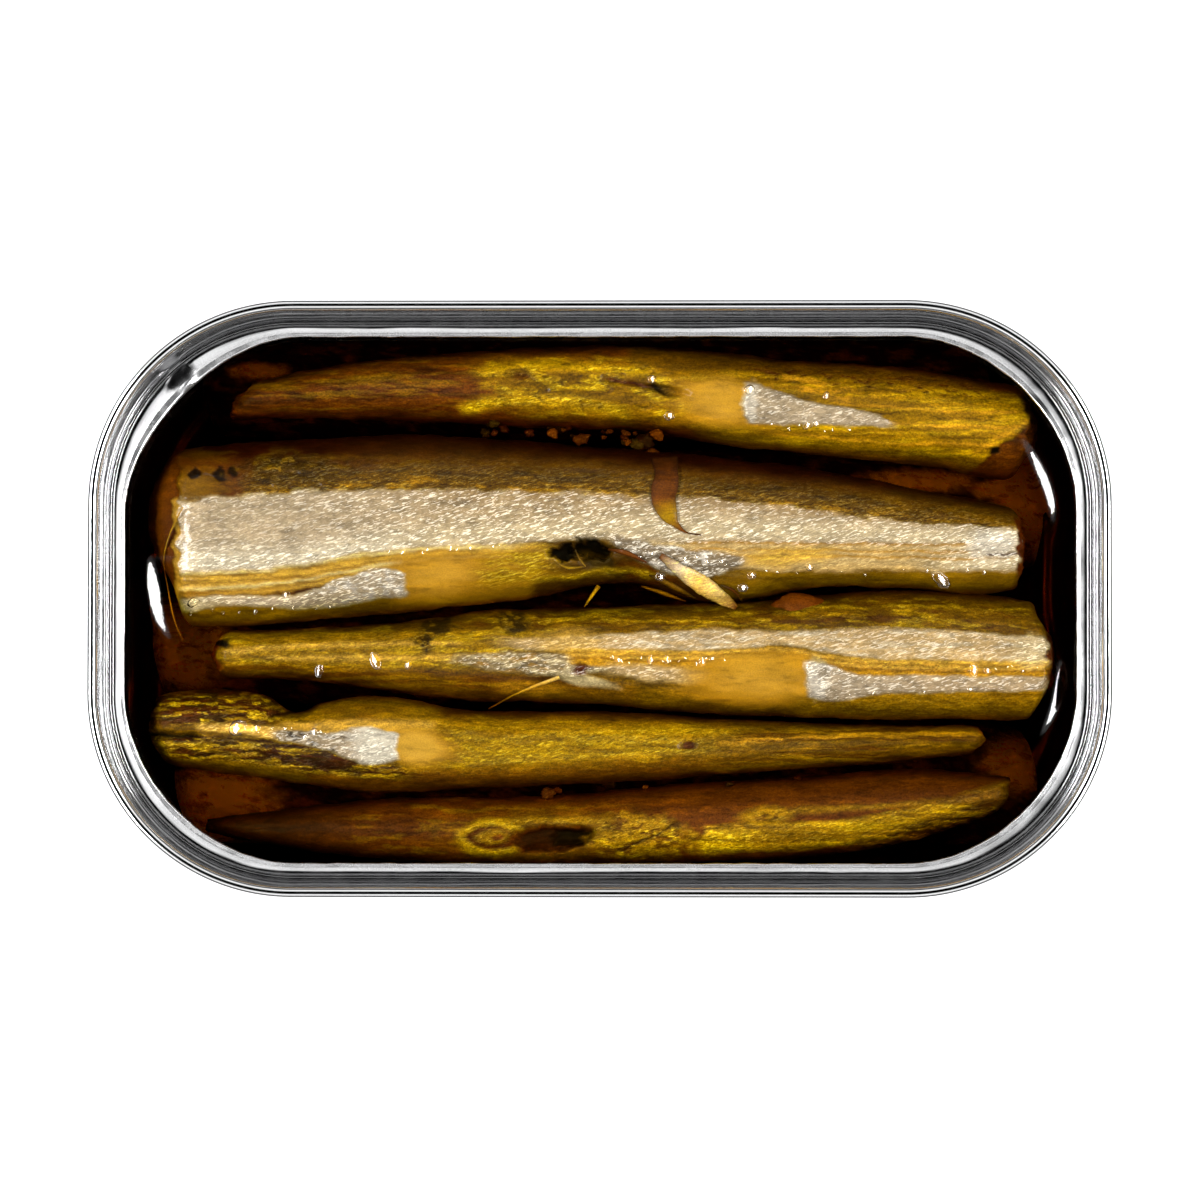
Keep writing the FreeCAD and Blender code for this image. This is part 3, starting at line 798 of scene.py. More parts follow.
    # amber stripes under the flank on the left
    stripes = skin.band([(-43, 2.7), (-35, 2.9), (-30, 3.3), (-25, 4.4), (-20, 4.9), (-6, 5.6)],
                        [(-43, 0.2), (-35, 0.6), (-30, 1.1), (-25, 2.2), (-20, 3.2), (-6, 3.4)],
                        0.25, (0.1, 1.2))
    skin.lay(stripes, "paleAmber", silver=0.05, glitter=0.2)
    edges = ((-43, 2.7, 0.2), (-35, 2.9, 0.6), (-25, 4.4, 2.2), (-20, 4.9, 3.2), (-6, 5.6, 3.6))
    for share, colour in ((0.12, "warmBrown"), (0.3, "cream"), (0.5, "warmBrown"),
                          (0.64, "paleAmber"), (0.8, "olive"), (0.93, "cream")):
        points = [(px, low + (top - low) * share) for px, top, low in edges]
        pale = colour in ("cream", "paleAmber")
        skin.lay(skin.strand(points, 0.17) * smooth(-4, -14, x), colour,
                 lift=0.1 if pale else -0.08, strength=0.85 if pale else 0.5)
    skin.lay(stripes * skin.broken(6, 0.25, 8, 0.1, 0.3), "warmBrown", strength=0.45, lift=-0.05)
    # tongue, swelling and yellow belly
    skin.lay(skin.band([(-43, -0.9), (-30, -0.3), (-20, 0.6), (-12, 0.8), (-3, 2.4), (3, 2.4)],
                       [(-43, -3.4), (-30, -2.9), (-20, -1.9), (-12, -1.2), (-3, 0.4), (3, 1)], 0.4,
                       (0.2, 1)), "mustard")
    skin.lay(skin.band([(-43, -1.0), (-20, 0.2), (-3, 2.2)], [(-43, -3), (-20, -1.6), (-3, 0.4)]) *
             skin.broken(5, 0.3, 9, 0, 0.3), "olive", strength=0.7)
    swelling = skin.band([(-21, 4.1), (-17, 4.5), (-12, 4.4), (-6, 4.6)],
                         [(-21, -0.6), (-17, -0.8), (-12, -0.5), (-6, 0.9)], 0.7, (1.2, 3))
    skin.lay(swelling, "amber", lift=0.3, glitter=0.0, calm=1)
    skin.lay(skin.spot((-16.6, 2.2), (3.4, 1.9), 8, 0.6), "paleAmber", strength=0.4)
    skin.lay(skin.spot((-8.5, 3.0), (4.2, 1.9), 14, 0.5), "mustard", glitter=0.6, strength=0.7)
    skin.lay(skin.spot((-8, 3.4), (4.4, 1.6), 12, 0.5) * skin.broken(1.6, 0.3, 10, -0.3, 0.2),
             "yellow", glitter=1.0, strength=0.8)
    tongue = skin.band([(-43, -0.1), (-36, 0.25), (-30, 0.6), (-26.6, 1.8), (-22, 3.0),
                        (-19.8, 2.6)],
                       [(-43, -1.4), (-36, -0.75), (-30, -1.0), (-26.6, -0.9), (-22, 0.1),
                        (-19.8, 0.3)], 0.22, (0.1, 0.25))
    skin.lay(tongue, "silver", silver=0.85, glitter=0.9, lift=0.28)
    skin.lay(tongue, "cream", strength=0.35)
    skin.lay(tongue * skin.broken(0.9, 0.4, 11, 0, 0.4), "grey", strength=0.35)
    skin.lay(tongue * smooth(-31, -25, x) * skin.broken(0.7, 0.4, 12), "white", strength=0.85,
             lift=0.06)
    skin.lay(tongue * smooth(-38, -42, x), "white", strength=0.6)
    # torn hole with its shreds; the black deep in the hole is painted shade
    skin.lay(skin.spot((-1.6, 4.8), (3.3, 1.15), 4, 0.4, 0.35), "olive", lift=-0.3, glitter=0.3)
    skin.lay(skin.spot((-3.5, 4.6), (1.4, 0.95), 10, 0.15, 0.7), "black", lift=-1.3, silver=0.0,
             glitter=0.0)
    skin.lay(skin.spot((-0.5, 4.9), (2.1, 1.15), -5, 0.15, 0.6), "black", lift=-1.8, silver=0.0,
             glitter=0.0)
    skin.lay(skin.spot((0.8, 3.3), (3.0, 0.9), -20, 0.3, 0.5), "mossy", lift=-0.5, silver=0.0)
    skin.lay(skin.spot((5.2, 2.4), (3.2, 0.8), -16, 0.4, 0.5), "warmBrown", lift=-0.5, silver=0.0)
    skin.lay(skin.strand([(-7, 1.7), (-3, 2.2), (0, 2.7), (3, 2.9), (5.6, 2.3)], 0.3), "yellow",
             glitter=0.9, lift=0.15, strength=0.85)
    skin.lay(skin.band([(-7, 1.4), (0, 2.2), (6, 1.8), (12, 0.8)],
                       [(-7, -1), (0, -1), (12, -1.5)], 0.3), "backBrown", strength=0.75)
    # loose silver skin beside the hole
    loose = skin.band([(1.5, 6.6), (5, 5.6), (10, 4.9), (14.6, 4.2)],
                      [(1.5, 5.5), (5, 3.4), (10, 2.2), (14.6, 3.2)], 0.3, (0.5, 0.6))
    skin.lay(loose, "grey", silver=0.9, glitter=1.0, lift=0.2)
    skin.lay(loose * skin.broken(0.9, 0.35, 13, 0, 0.3), "white", lift=0.18, strength=0.9)
    # olive lower edge
    edge = skin.band([(13, 2.9), (20, 2.9), (43, 2.8)], [(13, 0.2), (20, 0.6), (43, 0.4)], 0.35,
                     (2, 0.3))
    skin.lay(edge, "mustard", glitter=0.15)
    skin.lay(edge * skin.broken(7, 0.35, 14), "olive", strength=0.6)
    # beyond the skin the flesh shows at both ends
    skin.lay(smooth(-42.9, -43.3, x + 0.25 * np.sin(2.3 * y)), "warmBrown", silver=0.0, glitter=0.0,
             lift=-0.5)
    skin.lay(smooth(-43.6, -43.3, x) * smooth(-42.7, -43.0, x) * smooth(10.4, 9.8, y), "paleAmber",
             lift=0.2, strength=0.8)
    skin.lay(smooth(42.5, 42.9, x + 0.2 * np.sin(2.7 * y)), "redBrown", silver=0.0, glitter=0.0)


def paintFishThree(skin):
    x, y = skin.x, skin.y
    skin.lay(np.ones(x.shape), "olive")
    skin.lay(skin.broken(6, 0.5, 1), "mustard", strength=0.35)
    skin.lay(smooth(-1.6, 0.2, y - 0.02 * x), "brown", strength=0.75)
    top = skin.band([(-39, -3.3), (-20, -2.4), (10, -0.6), (46, 0.2)],
                    [(-39, -5), (-20, -4), (10, -3.2), (46, -3.4)], 0.4)
    skin.lay(top * skin.broken(2.4, 0.3, 2, 0.0, 0.3), "yellow", glitter=0.9, strength=0.6)
    skin.lay(top * skin.broken(3, 0.5, 3, 0.1, 0.4), "brown", strength=0.6)
    # left: mustard with bright amber stripes over brown
    left = skin.band([(-40, -3.6), (-20, -3.4), (-8, -3.2)], [(-40, -6.8), (-20, -7.4), (-8, -6.9)],
                     0.4, (0.4, 2))
    skin.lay(left, "mustard", glitter=0.3)
    skin.lay(left * skin.broken(5, 0.28, 4, 0, 0.3), "yellow", glitter=0.6, strength=0.7)
    for points in ([(-38, -5.4), (-28, -4.8), (-14, -4.6)],
                   [(-34, -6.1), (-24, -6.1), (-12, -6.0)]):
        skin.lay(skin.strand(points, 0.28), "paleAmber", glitter=0.5, lift=0.1, strength=0.75)
    skin.lay(skin.band([(-40, -6.6), (-20, -7.4), (-4, -8.2), (4, -9)],
                       [(-40, -9), (-20, -10), (-4, -11.4), (4, -11.6)], 0.4), "warmBrown",
             strength=0.6)
    skin.lay(skin.band([(-36, -6.8), (-20, -7.6), (-6, -8.6)], [(-36, -8), (-20, -9), (-6, -10)],
                       0.4, (2, 3)) * skin.broken(5, 0.3, 14, 0, 0.3), "mustard", strength=0.7)
    skin.lay(skin.spot((2, -9.8), (8, 1.3), 0, 0.5, 0.3), "mustard", strength=0.35)
    for place, size, turn in (((-16.6, -2.8), (2.4, 1.2), 40), ((-17.6, -4.6), (0.8, 1.1), 10),
                              ((-8.8, -2.4), (1.7, 1.2), -30)):
        mask = skin.spot(place, size, turn, 0.3, 0.45)
        skin.lay(mask, "mossy", lift=-0.1, silver=0.0)
        skin.lay(mask * skin.broken(0.6, 0.35, 5, 0.1, 0.3), "mustard", glitter=1.0, strength=0.6)
    # grey silver patch
    patch = skin.band([(-15, -5.9), (-11, -5.6), (-2, -6.0), (2, -6.6)],
                      [(-15, -6.6), (-11, -7.3), (-2, -7.9), (2, -7.2)], 0.3, (1.6, 1.5))
    skin.lay(patch, "grey", silver=0.6, glitter=1.0, lift=0.12, strength=0.85)
    skin.lay(patch * skin.broken(1.1, 0.3, 15, 0.1, 0.4), "amber", strength=0.6)
    skin.lay(patch * skin.broken(0.8, 0.3, 6, 0, 0.3), "cream", lift=0.1, strength=0.75)
    # the pink and silver band to the right
    bandTop = [(-9, -4), (0, -3.8), (10, -3.3), (20, -3.4), (30, -3.2), (46, -4.1)]
    bandLow = [(-9, -5.2), (0, -5.4), (10, -5.3), (20, -4.9), (25, -5.8), (35, -6.4), (46, -6.3)]
    flank = skin.band(bandTop, bandLow, 0.28, (2.5, 0.2))
    skin.lay(flank, "pink", silver=0.6, glitter=0.6, lift=0.08)
    skin.lay(flank * smooth(-6, 4, x) * skin.broken(2.2, 0.25, 7, -0.1, 0.3), "cream", silver=0.8,
             strength=0.85, lift=0.06)
    skin.lay(flank * skin.broken(1.2, 0.3, 8, 0.2, 0.5), "grey", strength=0.4)
    skin.lay(skin.spot((-3, -4.4), (3.6, 1.3), 0, 0.5), "paleAmber", silver=0.2, strength=0.6)
    # yellow and amber below the band
    below = skin.band([(-3, -5.3), (10, -5.5), (19, -5.2), (25, -6.1), (35, -6.6), (46, -6.5)],
                      [(-3, -6.8), (10, -7.4), (19, -7.2), (25, -7.6), (35, -8), (46, -8)], 0.25)
    skin.lay(below, "amber", silver=0.05, glitter=0.3)
    edges = ((-3, -5.3, -6.6), (10, -5.5, -7), (19, -5.2, -7), (25, -6.1, -7.6), (46, -6.6, -8))
    for share in (0.25, 0.6):
        points = [(px, high + (low - high) * share) for px, high, low in edges]
        skin.lay(skin.strand(points, 0.18), "warmBrown", lift=-0.08, strength=0.6)
        skin.lay(skin.strand([(px, py + 0.3) for px, py in points], 0.2), "paleAmber", glitter=0.4,
                 lift=0.08, strength=0.8)
    skin.lay(skin.band([(1, -6.7), (6, -6.9), (12, -7.4)], [(1, -7.8), (6, -8.4), (12, -8.6)], 0.4,
                       (1, 2)), "pink", silver=0.6, glitter=0.8, strength=0.9)
    skin.lay(skin.spot((-1.8, -7.3), (0.8, 0.6), 0, 0.4, 0.2), "redBrown", lift=-0.35)
    skin.lay(skin.spot((-1.6, -8.4), (3.2, 0.5), -12, 0.5), "cream", silver=0.4, strength=0.8,
             lift=0.15)
    skin.lay(skin.spot((-6.5, -9.4), (3.4, 0.8), -6, 0.5), "amber", strength=0.5, lift=0.1)
    # swelling and tongue
    swelling = skin.band([(9, -6.8), (14, -5.9), (20, -5.6), (23, -6.4)],
                         [(9, -10), (14, -10.8), (20, -10.8), (23, -10.2)], 0.6, (3, 1.6))
    skin.lay(swelling, "amber", silver=0.0, glitter=0.0, lift=0.35, calm=1)
    skin.lay(skin.spot((16.5, -8), (4.2, 2), -3, 0.6), "paleAmber", strength=0.4)
    skin.lay(skin.band([(20, -9.8), (30, -9.5), (46, -9.2)], [(20, -12), (30, -12.3), (46, -12.6)],
                       0.35, (3, 0.4)), "mustard", glitter=0.3)
    skin.lay(skin.band([(20, -10), (30, -9.6), (46, -9.4)], [(20, -12), (30, -12.3), (46, -12.6)]) *
             skin.broken(5, 0.35, 9, 0, 0.35), "olive", strength=0.75)
    tongue = skin.band([(21.3, -6.3), (23, -6.8), (26, -7.6), (34, -7.9), (46, -8.1)],
                       [(21.3, -10), (23, -10.4), (28, -9.7), (34, -9.5), (46, -9.3)], 0.2,
                       (0.35, 0.2))
    skin.lay(tongue, "silver", silver=0.85, glitter=0.8, lift=0.3)
    skin.lay(tongue * smooth(26, 36, x), "pink", strength=0.6)
    skin.lay(tongue * skin.broken(0.8, 0.4, 10, 0, 0.4), "grey", strength=0.4)
    skin.lay(skin.spot((22.4, -8.2), (1.1, 2.1), 0, 0.3, 0.3), "white", lift=0.12, strength=0.7)
    skin.lay(skin.spot((22.8, -7.7), (0.5, 0.8), 20, 0.4), "grey", lift=-0.15, strength=0.8)
    skin.lay(skin.spot((44.6, -5.4), (2.4, 1.6), 0, 0.4, 0.3), "cream", silver=0.5, glitter=1.0,
             strength=0.6)
    skin.lay(smooth(-38.6, -39.3, x + 0.3 * np.sin(3 * y)), "redBrown", lift=-0.3)
    skin.lay(skin.spot((-38.6, -4.6), (1.1, 0.4), 0, 0.4, 0.5), "black", lift=-0.2)
    skin.lay(smooth(45.5, 46.0, x + 0.2 * np.sin(2.9 * y)), "redBrown", silver=0.0)


def paintFishFour(skin):
    x = skin.x
    skin.lay(np.ones(x.shape), "olive")
    skin.lay(skin.broken(7, 0.4, 1), "mustard", strength=0.5)
    # upper left lobe, then the folded edge, with painted shade in the groove along it
    lobe = skin.band([(-46, -9.2), (-38, -9), (-31, -11)], [(-46, -13), (-38, -12.8), (-31, -12.6)],
                     0.5, (0.3, 1))
    skin.lay(lobe, "brown", glitter=0.6)
    skin.lay(lobe * skin.broken(2.2, 0.4, 12, -0.1, 0.3), "mossy", strength=0.75, lift=-0.1,
             glitter=1.0)
    skin.lay(lobe * skin.broken(2.5, 0.3, 2, 0.04, 0.3), "mustard", glitter=1.0, strength=0.8,
             lift=0.06)
    skin.lay(lobe * skin.broken(1.4, 0.25, 13, 0.2, 0.35), "yellow", glitter=1.0, strength=0.8)
    fold = skin.band([(-32, -11.6), (-28, -10.5), (-24, -9.8), (-16, -10.2)],
                     [(-32, -12.8), (-28, -13.2), (-24, -13.2), (-16, -12.8)], 0.35, (0.6, 1.5))
    skin.lay(fold, "mustard", lift=0.3, strength=0.9)
    skin.lay(fold * skin.broken(3, 0.5, 3), "warmBrown", strength=0.35)
    skin.lay(skin.strand([(-33, -12.9), (-30, -11.9), (-27, -10.9), (-24, -10.2)], 0.2), "mustard",
             lift=0.2)
    skin.lay(skin.strand([(-34, -12.2), (-31.4, -11.6), (-29, -10.9)], 0.25), "deepBrown",
             lift=-0.5)
    # yellow body
    body = skin.band([(-20, -12.6), (-8, -12), (8, -12.4), (24, -13.4)],
                     [(-20, -18), (-8, -18.2), (8, -17.2), (24, -16.4)], 0.5, (3, 6))
    skin.lay(body, "mustard", glitter=0.25)
    skin.lay(body * skin.broken(5, 0.35, 4, 0.05, 0.4), "yellow", glitter=0.7, strength=0.6)
    for height, sway in ((0, 0.5), (-1.1, 0.35), (1.0, 0.4)):
        line = [(-15, height - 14.6), (-11, height - 15.2 - sway), (-6, height - 14.9),
                (-1, height - 15.3 + sway), (6, height - 14.6), (14, height - 14.5)]
        skin.lay(skin.strand(line, 0.34), "yellow", glitter=0.8, strength=0.7)
    skin.lay(skin.band([(-30, -17.2), (-10, -17.4), (10, -16.2), (38, -15.2)],
                       [(-30, -19.6), (-10, -19.4), (10, -18.2), (38, -16.2)], 0.5), "warmBrown",
             strength=0.7)
    skin.lay(skin.band([(-16, -11.4), (0, -11.4), (14, -12.4)],
                       [(-16, -12.4), (0, -12.6), (14, -13)], 0.4), "warmBrown", strength=0.6)
    # fibres to the right
    right = skin.band([(12, -12.6), (24, -13), (39, -13.4)], [(12, -17.6), (24, -17), (39, -15.8)],
                      0.4, (6, 0.4))
    skin.lay(right, "olive", strength=0.8)
    skin.lay(right * skin.broken(8, 0.24, 5, 0, 0.25), "mustard", strength=0.8)
    skin.lay(skin.strand([(12, -14.8), (24, -14.0), (34, -13.8), (39, -13.8)], 0.28), "amber",
             glitter=0.4, strength=0.75)
    skin.lay(right * skin.broken(9, 0.3, 6, 0.15, 0.35), "brown", strength=0.7, lift=-0.1)
    skin.lay(skin.spot((9.2, -14.9), (0.8, 0.5), 0, 0.4, 0.3), "brown", lift=-0.3)
    # lower left lobe with a furrow; the black in the cleft above it and the deep brown along the
    # furrows are painted shade
    low = skin.band([(-46, -13.9), (-38, -14.2), (-30, -15), (-20, -17.3)],
                    [(-46, -16.4), (-38, -16.6), (-30, -17.6), (-20, -18.6)], 0.4, (0.3, 2))
    skin.lay(low, "brown", glitter=0.6)
    skin.lay(low * skin.broken(2.4, 0.3, 16, -0.1, 0.15), "mossy", strength=0.8, lift=-0.12)
    skin.lay(low * skin.broken(3, 0.26, 7, -0.05, 0.15), "mustard", glitter=1.0, strength=0.95,
             lift=0.08)
    skin.lay(low * skin.broken(2.4, 0.22, 17, 0.12, 0.28), "yellow", glitter=1.0, strength=0.85)
    skin.lay(skin.strand([(-42, -16.4), (-38, -15.9), (-32, -16.6), (-24, -17.8)], 0.55) *
             skin.broken(2, 0.5, 8, -0.4, 0.1), "deepBrown", lift=-0.3, strength=0.9)
    skin.lay(skin.strand([(-47, -13.9), (-44, -13.9), (-41, -14.2)], 0.32), "black", lift=-0.9)
    skin.lay(skin.strand([(-40, -14.4), (-34, -14.7), (-28, -15.8)], 0.25), "deepBrown", lift=-0.2,
             strength=0.7)
    # glittering line that widens into the tongue
    skin.lay(skin.band([(-41, -12.8), (-35, -13), (-31, -13.3)],
                       [(-41, -13.4), (-35, -14.1), (-31, -14.6)], 0.2), "paleAmber", silver=0.3,
             glitter=1.0, lift=0.12)
    skin.lay(skin.band([(-32, -12.7), (-25, -12.4), (-17, -12.6)],
                       [(-32, -13.7), (-25, -13.9), (-17, -13.8)], 0.3), "paleAmber",
             strength=0.7)
    skin.lay(skin.spot((-18.3, -15.2), (3.4, 1.9), -8, 0.5), "amber", lift=0.35, glitter=0.0,
             calm=1)
    skin.lay(skin.spot((-18.6, -15.2), (2.6, 1.5), -8, 0.5), "paleAmber", strength=0.85)
    tongue = skin.band([(-33, -13.6), (-28, -13.7), (-23, -13.3), (-20.6, -13.9)],
                       [(-33, -14.3), (-28, -15.4), (-23, -17), (-20.6, -16.4)], 0.22, (1, 0.25))
    skin.lay(tongue, "silver", silver=0.85, glitter=0.7, lift=0.3)
    skin.lay(tongue * smooth(-25.4, -28, x), "grey", strength=0.7)
    skin.lay(tongue * smooth(-26, -23.4, x), "white", strength=0.95, silver=0.7)
    skin.lay(tongue * smooth(-25, -27, x) * skin.broken(0.7, 0.3, 9, 0, 0.25), "deepBrown",
             lift=-0.12, strength=0.85)
    skin.lay(tongue * skin.broken(1.2, 0.25, 10, 0.1, 0.3), "white", strength=0.6, lift=0.06)


def paintFishFive(skin):
    x, y = skin.x, skin.y
    skin.lay(np.ones(x.shape), "warmBrown")
    skin.lay(skin.broken(7, 0.5, 1), "brown", strength=0.7)
    skin.lay(smooth(-14, -22, x), "brown", strength=0.75)
    skin.lay(smooth(-20, -34, x), "deepBrown", strength=0.85)
    skin.lay(skin.broken(3, 0.4, 2, 0.1, 0.4) * smooth(6, -6, x) * smooth(-30, -18, x), "mustard",
             strength=0.35)
    skin.lay(skin.strand([(-38, -23.6), (-26, -23.4), (-16, -23.8)], 0.4) *
             skin.broken(1.2, 0.3, 3), "deepBrown", strength=0.8, lift=-0.1)
    # loop of pale tissue round a dark hollow
    skin.lay(skin.spot((-5, -24.4), (9.5, 2.6), 0, 0.6, 0.35), "olive", strength=0.8)
    ring = skin.spot((-10.9, -24.5), (3.4, 1.9), 0, 0.2)
    skin.lay(ring, "yellow", lift=0.2, glitter=0.7, strength=0.8)
    skin.lay(skin.spot((-10.9, -24.5), (2.7, 1.25), 0, 0.25), "brown", lift=-0.25)
    skin.lay(skin.spot((-10.8, -24.4), (1.7, 0.7), 8, 0.3), "mustard", lift=0.12, strength=0.85)
    skin.lay(skin.spot((-10.4, -24.4), (0.7, 0.3), 10, 0.3), "warmBrown", lift=-0.1)
    # painted shade in the hollow: dark red-brown going to black where it is deepest
    skin.lay(skin.spot((-4.8, -24.5), (4.1, 1.4), 6, 0.25, 0.3), "redBrown", lift=-0.7,
             glitter=0.0)
    skin.lay(skin.spot((-4.6, -24.6), (3.8, 1.2), 6, 0.15, 0.3), "deepBrown", lift=-0.6,
             strength=0.95)
    skin.lay(skin.spot((-2.7, -24.4), (2.0, 0.9), 6, 0.15, 0.4), "black", lift=-0.5, strength=0.9)
    skin.lay(skin.strand([(-9, -22.9), (-4, -22.6), (1, -22.9)], 0.3), "mustard", glitter=0.7)
    mottled = skin.spot((4.2, -24.4), (5.2, 2.4), 0, 0.25, 0.3)
    skin.lay(mottled, "mustard", glitter=0.6)
    skin.lay(mottled * skin.broken(1.1, 0.45, 4, 0.1, 0.35), "yellow", glitter=1.0, lift=0.08,
             strength=0.8)
    skin.lay(mottled * skin.broken(1.0, 0.5, 5, 0.0, 0.3), "brown", lift=-0.12, strength=0.8)
    skin.lay(skin.strand([(2, -25.6), (5, -24.6), (8, -22.8)], 0.18), "deepBrown", lift=-0.2)
    # small ring pattern and the bright blunt patch
    skin.lay(skin.spot((17, -22.3), (2.6, 1.0), 2, 0.4), "mustard", glitter=0.4)
    skin.lay(skin.spot((17, -22.3), (1.3, 0.45), 2, 0.4) * skin.broken(0.5, 0.4, 6, -0.1, 0.1),
             "brown", strength=0.7)
    patch = skin.band([(11, -23.3), (15, -23.0), (24, -22.8), (32, -21.2), (42, -18.4)],
                      [(11, -25.9), (15, -25.7), (24, -25.2), (32, -23.6), (42, -20.4)], 0.3,
                      (0.5, 0.3))
    skin.lay(patch, "mustard", glitter=0.5, lift=0.22)
    skin.lay(patch * skin.broken(6, 0.26, 7, 0.0, 0.3), "yellow", glitter=0.8, strength=0.75)
    skin.lay(skin.spot((12.6, -25), (2.4, 1.1), 15, 0.4, 0.3), "yellow", glitter=1.0, lift=0.1)
    skin.lay(patch * skin.broken(7, 0.22, 8, 0.05, 0.25), "olive", strength=0.8, lift=-0.08)
    skin.lay(skin.strand([(18, -21.8), (28, -21.2), (35, -20.4)], 0.3), "mustard", glitter=0.5,
             strength=0.8)
    # frayed fibres at the right end
    frayed = skin.band([(26, -24.6), (34, -22.4), (42, -20)], [(26, -26), (34, -24.8), (42, -22)],
                       0.4, (2, 0.4))
    skin.lay(frayed, "olive")
    skin.lay(frayed * skin.broken(2.6, 0.2, 9, 0, 0.2), "mustard", glitter=0.6, lift=0.15)
    skin.lay(frayed * skin.broken(2.2, 0.24, 10, 0.1, 0.25), "deepBrown", lift=-0.3, strength=0.8)
    skin.lay(smooth(-20.3, -18.9, y + 0.04 * x) * smooth(-12, 4, x), "brown", strength=0.7)


# fish: the upper layer

fishLook = {
    "absorption": (105.0, 170.0, 520.0),     # per metre of oil, red green blue
    "slantPath": 2.15,                      # way down and up through the oil, per depth
    "rest": 12.08,                          # underside of the upper layer
    "deep": 6.3,                            # mm below the rim, where its outlines are seen
    "pale": 0.44,                           # all fish colours are taken down to suit the light
    "silverHeldDown": (0.24, 0.30, 0.36),   # red green blue taken out of silver, then of the rest
    "fleshHeldDown": (0.04, 0.12, 0.55),
    "leastLight": 0.5,                      # under oil, paint is lightened by 1 over this at most
    "lightest": 0.92,
    "gridStep": 0.17,                       # mm between points over the top
    "acrossStep": 0.78,                     # of that, from side to side
    "widest": 19,                           # mm; a wider fish gets no more points across
    "underColumns": 30,                     # points more, for the sides
    "overShare": 0.78,                      # of each ring's points are over the top
    "capRings": 7,                          # rings that close each cut end
    "edgeFall": (0.88, 0.6),                # how far the left and right end round down, 1 is fully
    "taper": 0.28,                          # and how much they narrow
}

# outlines in mm as seen from straight above: top and bottom edge along the fish, and the ends
# as (height, place); crest is the highest line, round is how far the ends are rounded over
upperFish = {
    "fish_1": {
        "top": [(-39, 21.9), (-35, 22.6), (-25, 24.4), (-12, 25.6), (3, 26.1), (20, 24.5),
                (35, 23.3), (44, 21.6)],
        "bottom": [(-39, 18.4), (-35, 18.6), (-20, 18.4), (-5, 17.6), (5, 17.2), (13, 15.9),
                   (25, 14.6), (35, 13.5), (40, 12.4), (44, 12.6)],
        "left": [(17.6, -38.2), (20, -37.4), (23, -35.6)],
        "right": [(12.4, 42.6), (14.5, 43.8), (18, 44.6), (21, 43.6)],
        "crest": [(-38, 20.6), (-20, 21.1), (0, 21.75), (15, 21.75), (30, 21.5), (43, 21.0)],
        "round": (1.6, 1.0), "paint": paintFishOne},
    "fish_2": {
        "top": [(-46, 14.9), (-40, 15.8), (-30, 16.5), (-18, 16.9), (-5, 16.0), (10, 14.8),
                (25, 12.8), (35, 10.8), (43, 9.3)],
        "bottom": [(-46, -2.2), (-40, -2.8), (-30, -2.3), (-20, -1.3), (-10, -0.3), (0, 1.4),
                   (3, 1.7), (8, 0.3), (14, -0.3), (20, 1.0), (30, 1.2), (40, 0.7), (43, 1.2)],
        "left": [(-2.6, -43.0), (0, -43.6), (4, -45.4), (12, -46), (16, -44.5)],
        "right": [(0, 42.4), (4, 43.2), (8, 43.0), (10, 42.2)],
        "crest": [(-46, 20.4), (-43.4, 22.1), (-35, 22.5), (-15, 22.7), (15, 22.7), (43, 22.2)],
        "round": (1.6, 0.6), "paint": paintFishTwo},
    "fish_3": {
        "top": [(-39.5, -3.3), (-30, -3), (-20, -2.4), (-10, -1.1), (0, -0.8), (15, -0.2),
                (25, 0.6), (35, 0.8), (46, -0.3)],
        "bottom": [(-39.5, -8), (-30, -8.3), (-15, -10.1), (0, -10.8), (15, -11.9), (30, -12.2),
                   (46, -12.3)],
        "left": [(-8, -39), (-5, -39.5), (-3, -38.6)],
        "right": [(-12.5, 44.2), (-9, 45.8), (-5, 46.2), (-1, 44.6)],
        "crest": [(-39, 21.7), (-20, 22.1), (5, 22.45), (25, 22.45), (46, 22.2)],
        "round": (1.4, 0.8), "paint": paintFishThree},
    "fish_4": {
        "top": [(-46, -9.6), (-38, -9.3), (-34, -9.9), (-31.3, -11.6), (-28.5, -10.6), (-22, -10.0),
                (-15, -11.2), (0, -11.5), (15, -12.3), (28, -12.8), (39.5, -12.9)],
        "bottom": [(-46, -16.8), (-35, -18.3), (-25, -19.6), (-12, -19.3), (5, -18.5), (20, -17.4),
                   (32, -16.5), (39.5, -15.6)],
        "left": [(-17, -45), (-14, -46), (-9.5, -45.5)],
        "right": [(-15.6, 38.4), (-14.6, 39.4), (-13, 38.9)],
        "crest": [(-46, 21.3), (-30, 21.8), (-18, 21.95), (0, 21.7), (20, 21.3), (39, 20.4)],
        "round": (1.8, 1.2), "paint": paintFishFour},
    "fish_5": {
        "top": [(-40.5, -22.4), (-30, -21.2), (-20, -20.3), (-5, -20.2), (5, -19.2), (20, -18.2),
                (34, -17.4), (42, -18.2)],
        "bottom": [(-40.5, -24), (-30, -25.8), (-20, -26.8), (-5, -27.2), (10, -26.9), (20, -26.5),
                   (30, -25.1), (42, -21.4)],
        "left": [(-24, -40.4), (-22, -40)],
        "right": [(-25, 36), (-21.4, 41), (-18.2, 42)],
        "crest": [(-40, 19.6), (-20, 20.6), (0, 21.05), (20, 21.05), (41, 20.7)],
        "round": (7.0, 1.0), "paint": paintFishFive},
}

# from the camera, what lies deeper looks nearer to the middle, so its outline is spread to suit
sightHeight = stageLook["lens"] * stageLook["frameWidth"] / stageLook["sensor"]
sightX = sightHeight * math.tan(math.radians(stageLook["leanTowardsRight"]))
sightY = -sightHeight * math.tan(math.radians(stageLook["leanTowardsNear"]))


def carriedDown(x, y, depth):
    share = depth / (sightHeight + depth)
    return (x - sightX * share) / (1 - share), (y - sightY * share) / (1 - share)


